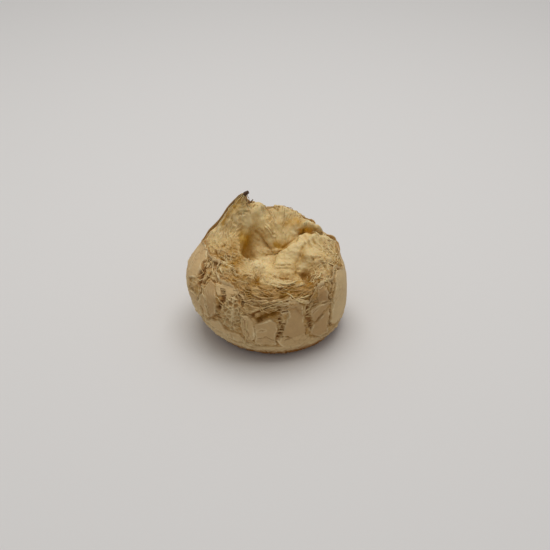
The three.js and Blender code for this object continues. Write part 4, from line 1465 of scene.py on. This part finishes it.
def add_node(tree, kind, settings, links):
    """Adds a node. Settings are its properties or inputs' values, and links are sockets to its inputs."""
    node = tree.nodes.new(kind)
    for name, value in settings.items():
        if hasattr(node, name):
            setattr(node, name, value)
        else:
            node.inputs[name].default_value = value
    for name, socket in links.items():
        tree.links.new(socket, node.inputs[name])
    return node


CRUMB_CREAM = "#DDBF82"
print("the crumb's cream in linear light:", np.round(linear(CRUMB_CREAM), 3))

# %% Dough, dried and baked: dull, slightly translucent starch
MOIST_AND_BOUNCE_YELLOW = "#D59F1C"  # a glowing yellow: painted bounce light in the crater's slit and cavity, and the colour of the moist crack
DOUGH_IOR = 1.45
LIGHT_DEPTH = 0.0012  # how far red light goes into the crumb, in metres; the others go less far
LIGHT_SHARES = (1.0, 0.55, 0.25)
MOTTLE_WIDTH = 3.846  # of the darker and lighter spots, in mm
GRIT_WIDTH = 0.909  # of the starch grains in the bump, in mm, as coarse as they need to be to show
BUMP_HEIGHT = 0.0003  # of the fibres and the grit, in metres


def dough(name, base, torn, hollow, pale, roughness, translucency):
    """Baked dough: the base colour mixed with torn, hollow, moist and pale ones by the piece's attributes,
    which also carry painted shade, painted light and painted bounce light, mottled by noise a few millimetres
    wide. Fine fibres follow the piece's own grain, in the bump and a little in the colour, and show most where
    the dough is torn."""
    material = bpy.data.materials.new(name)
    material.use_nodes = True
    tree = material.node_tree
    shader = tree.nodes["Principled BSDF"]
    shader.inputs["Roughness"].default_value = roughness
    shader.inputs["IOR"].default_value = DOUGH_IOR
    shader.inputs["Subsurface Weight"].default_value = translucency
    shader.inputs["Subsurface Radius"].default_value = LIGHT_SHARES
    shader.inputs["Subsurface Scale"].default_value = LIGHT_DEPTH

    shares = {}
    for label in FINISHES:
        shares[label] = add_node(tree, "ShaderNodeAttribute", {"attribute_name": label}, {}).outputs["Fac"]
    mix = add_node(
        tree,
        "ShaderNodeMixRGB",
        {"Color1": linear(base), "Color2": linear(torn)},
        {"Fac": shares["torn"]},
    )
    for label, tint in (("hollow", hollow), ("moist_and_bounce_light", MOIST_AND_BOUNCE_YELLOW), ("pale", pale)):
        links = {"Fac": shares[label], "Color1": mix.outputs["Color"]}
        mix = add_node(tree, "ShaderNodeMixRGB", {"Color2": linear(tint)}, links)

    place = add_node(tree, "ShaderNodeTexCoord", {}, {}).outputs["Object"]
    grain = add_node(tree, "ShaderNodeAttribute", {"attribute_name": "grain"}, {}).outputs["Vector"]
    fibre = {"Scale": 1.0, "Detail": 2.0, "Roughness": 0.6}
    fine = add_node(tree, "ShaderNodeTexNoise", fibre, {"Vector": grain})
    spots = {"Scale": 1000 / MOTTLE_WIDTH, "Detail": 5.0, "Roughness": 0.72}
    mottle = add_node(tree, "ShaderNodeTexNoise", spots, {"Vector": place})
    shades = {"To Min": 0.8, "To Max": 1.16}
    shade = add_node(tree, "ShaderNodeMapRange", shades, {"Value": mottle.outputs["Fac"]})
    streaks = {"From Min": 0.3, "From Max": 0.7, "To Min": 0.84, "To Max": 1.1}
    streak = add_node(tree, "ShaderNodeMapRange", streaks, {"Value": fine.outputs["Fac"]})
    plain = add_node(
        tree,
        "ShaderNodeMix",
        {"Factor": 0.0, "A": 1.0},
        {"Factor": shares["torn"], "B": streak.outputs["Result"]},
    )
    both = add_node(
        tree,
        "ShaderNodeMath",
        {"operation": "MULTIPLY"},
        {0: shade.outputs["Result"], 1: plain.outputs["Result"]},
    )
    spotted = add_node(
        tree,
        "ShaderNodeMixRGB",
        {"blend_type": "MULTIPLY", "Fac": 1.0},
        {"Color1": mix.outputs["Color"], "Color2": both.outputs["Value"]},
    )
    tree.links.new(spotted.outputs["Color"], shader.inputs["Base Color"])

    depth = add_node(tree, "ShaderNodeMapRange", {"To Min": 0.15, "To Max": 0.8}, {"Value": shares["torn"]})
    fibres = add_node(
        tree,
        "ShaderNodeBump",
        {"Distance": BUMP_HEIGHT},
        {"Height": fine.outputs["Fac"], "Strength": depth.outputs["Result"]},
    )
    grains = {"Scale": 1000 / GRIT_WIDTH, "Detail": 4.0}
    grit = add_node(tree, "ShaderNodeTexNoise", grains, {"Vector": place})
    bump = add_node(
        tree,
        "ShaderNodeBump",
        {"Strength": 0.5, "Distance": BUMP_HEIGHT},
        {"Height": grit.outputs["Fac"], "Normal": fibres.outputs["Normal"]},
    )
    tree.links.new(bump.outputs["Normal"], shader.inputs["Normal"])
    return material


reaches = [round(1000 * LIGHT_DEPTH * share, 2) for share in LIGHT_SHARES]
print("red, green and blue light go", reaches, "mm into the dough")

# %% The four doughs, and what wears them
# Base, torn, hollow and pale colours, then roughness and how much light goes in.
# The dry starch skin set first: dull, opaque and tan, with brown where it cracked.
dry_crust = dough("dry_starch_crust", "#CCAB78", "#BD9250", "#905C18", "#E6D0A0", 0.7, 0.05)
# The stretchy cheese crumb is a moist gel: creamy and soft, because some light goes in and comes out again.
soft_crumb = dough("stretchy_cheese_crumb", CRUMB_CREAM, "#B98F52", "#AC7C22", "#E8D3A0", 0.6, 0.2)
# Threads of it dried thin: as pale, a little duller, and brown where they caught the heat.
dried_threads = dough("dried_dough_threads", "#DDBE82", "#C0975A", "#8A5C1C", "#E6CF9C", 0.65, 0.15)
# The singed flap is scorched starch: rough and opaque, and darkest where it is thickest.
singed_crust = dough("singed_crust", "#B58A52", "#A87B45", "#4A2F16", "#D8BE92", 0.75, 0.0)
dressed = (
    (crust, dry_crust),
    (crumb, soft_crumb),
    (threads, dried_threads),
    (hook, singed_crust),
    (lip, dry_crust),
)
for piece, material in dressed:
    piece.data.materials.append(material)
    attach(piece, "root")
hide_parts("bread")
print(len(dressed), "pieces wear", len({material.name for _, material in dressed}), "doughs")

# %% [markdown]
# ## Floor, light and camera
#
# The bread stands on a plain pale floor under one broad, soft light, high up and a little behind, so that
# the crater's floor is bright and the front wall lies in half shade, as on a table in a studio tent.

# %% Floor: matte card, pale and without shine
FLOOR_HALF = 3.0
floor_mesh = bpy.data.meshes.new("floor")
floor_corners = [(x * FLOOR_HALF, y * FLOOR_HALF, 0) for x, y in ((-1, -1), (1, -1), (1, 1), (-1, 1))]
floor_mesh.from_pydata(floor_corners, [], [(0, 1, 2, 3)])
floor = bpy.data.objects.new("floor", floor_mesh)
bpy.context.scene.collection.objects.link(floor)
card = bpy.data.materials.new("matte_white_card")
card.use_nodes = True
card_shader = card.node_tree.nodes["Principled BSDF"]
card_shader.inputs["Base Color"].default_value = linear("#DAD7D4")
card_shader.inputs["Roughness"].default_value = 0.8
floor_mesh.materials.append(card)
print("the floor is", 2 * FLOOR_HALF, "m wide")

# %% Camera: 35 degrees down, from the front
VIEW_SLOPE = np.radians(35.0)
VIEW_DISTANCE = 0.45
LENS, SENSOR = 64.0, 36.0  # in mm
aim = Vector((0.0038, 0.0, 0.0267))
back = Vector((0.0, -np.cos(VIEW_SLOPE), np.sin(VIEW_SLOPE)))
camera = bpy.data.objects.new("camera", bpy.data.cameras.new("camera"))
camera.data.sensor_width = SENSOR
camera.data.lens = LENS
camera.location = aim + back * VIEW_DISTANCE
camera.rotation_euler = (-back).to_track_quat("-Z", "Y").to_euler()
bpy.context.scene.collection.objects.link(camera)
bpy.context.scene.camera = camera
print("the camera stands at", np.round(camera.location, 3), "m")

# %% Lights
LIT_PLACE = Vector((0, 0, 0.03))  # the middle of the bread
lamp = bpy.data.lights.new("softbox", "AREA")
lamp.size = 0.6
lamp.energy = 3.5
softbox = bpy.data.objects.new("softbox", lamp)
softbox.location = (0.0, 0.15, 0.75)
softbox.rotation_euler = (LIT_PLACE - softbox.location).to_track_quat("-Z", "Y").to_euler()
bpy.context.scene.collection.objects.link(softbox)
world = bpy.data.worlds.new("studio")
world.use_nodes = True
surroundings = world.node_tree.nodes["Background"]
surroundings.inputs["Color"].default_value = (0.8, 0.8, 0.8, 1.0)
surroundings.inputs["Strength"].default_value = 0.5
bpy.context.scene.world = world
bpy.context.scene.view_settings.view_transform = "Standard"
print("one softbox of", lamp.energy, "W, and pale surroundings")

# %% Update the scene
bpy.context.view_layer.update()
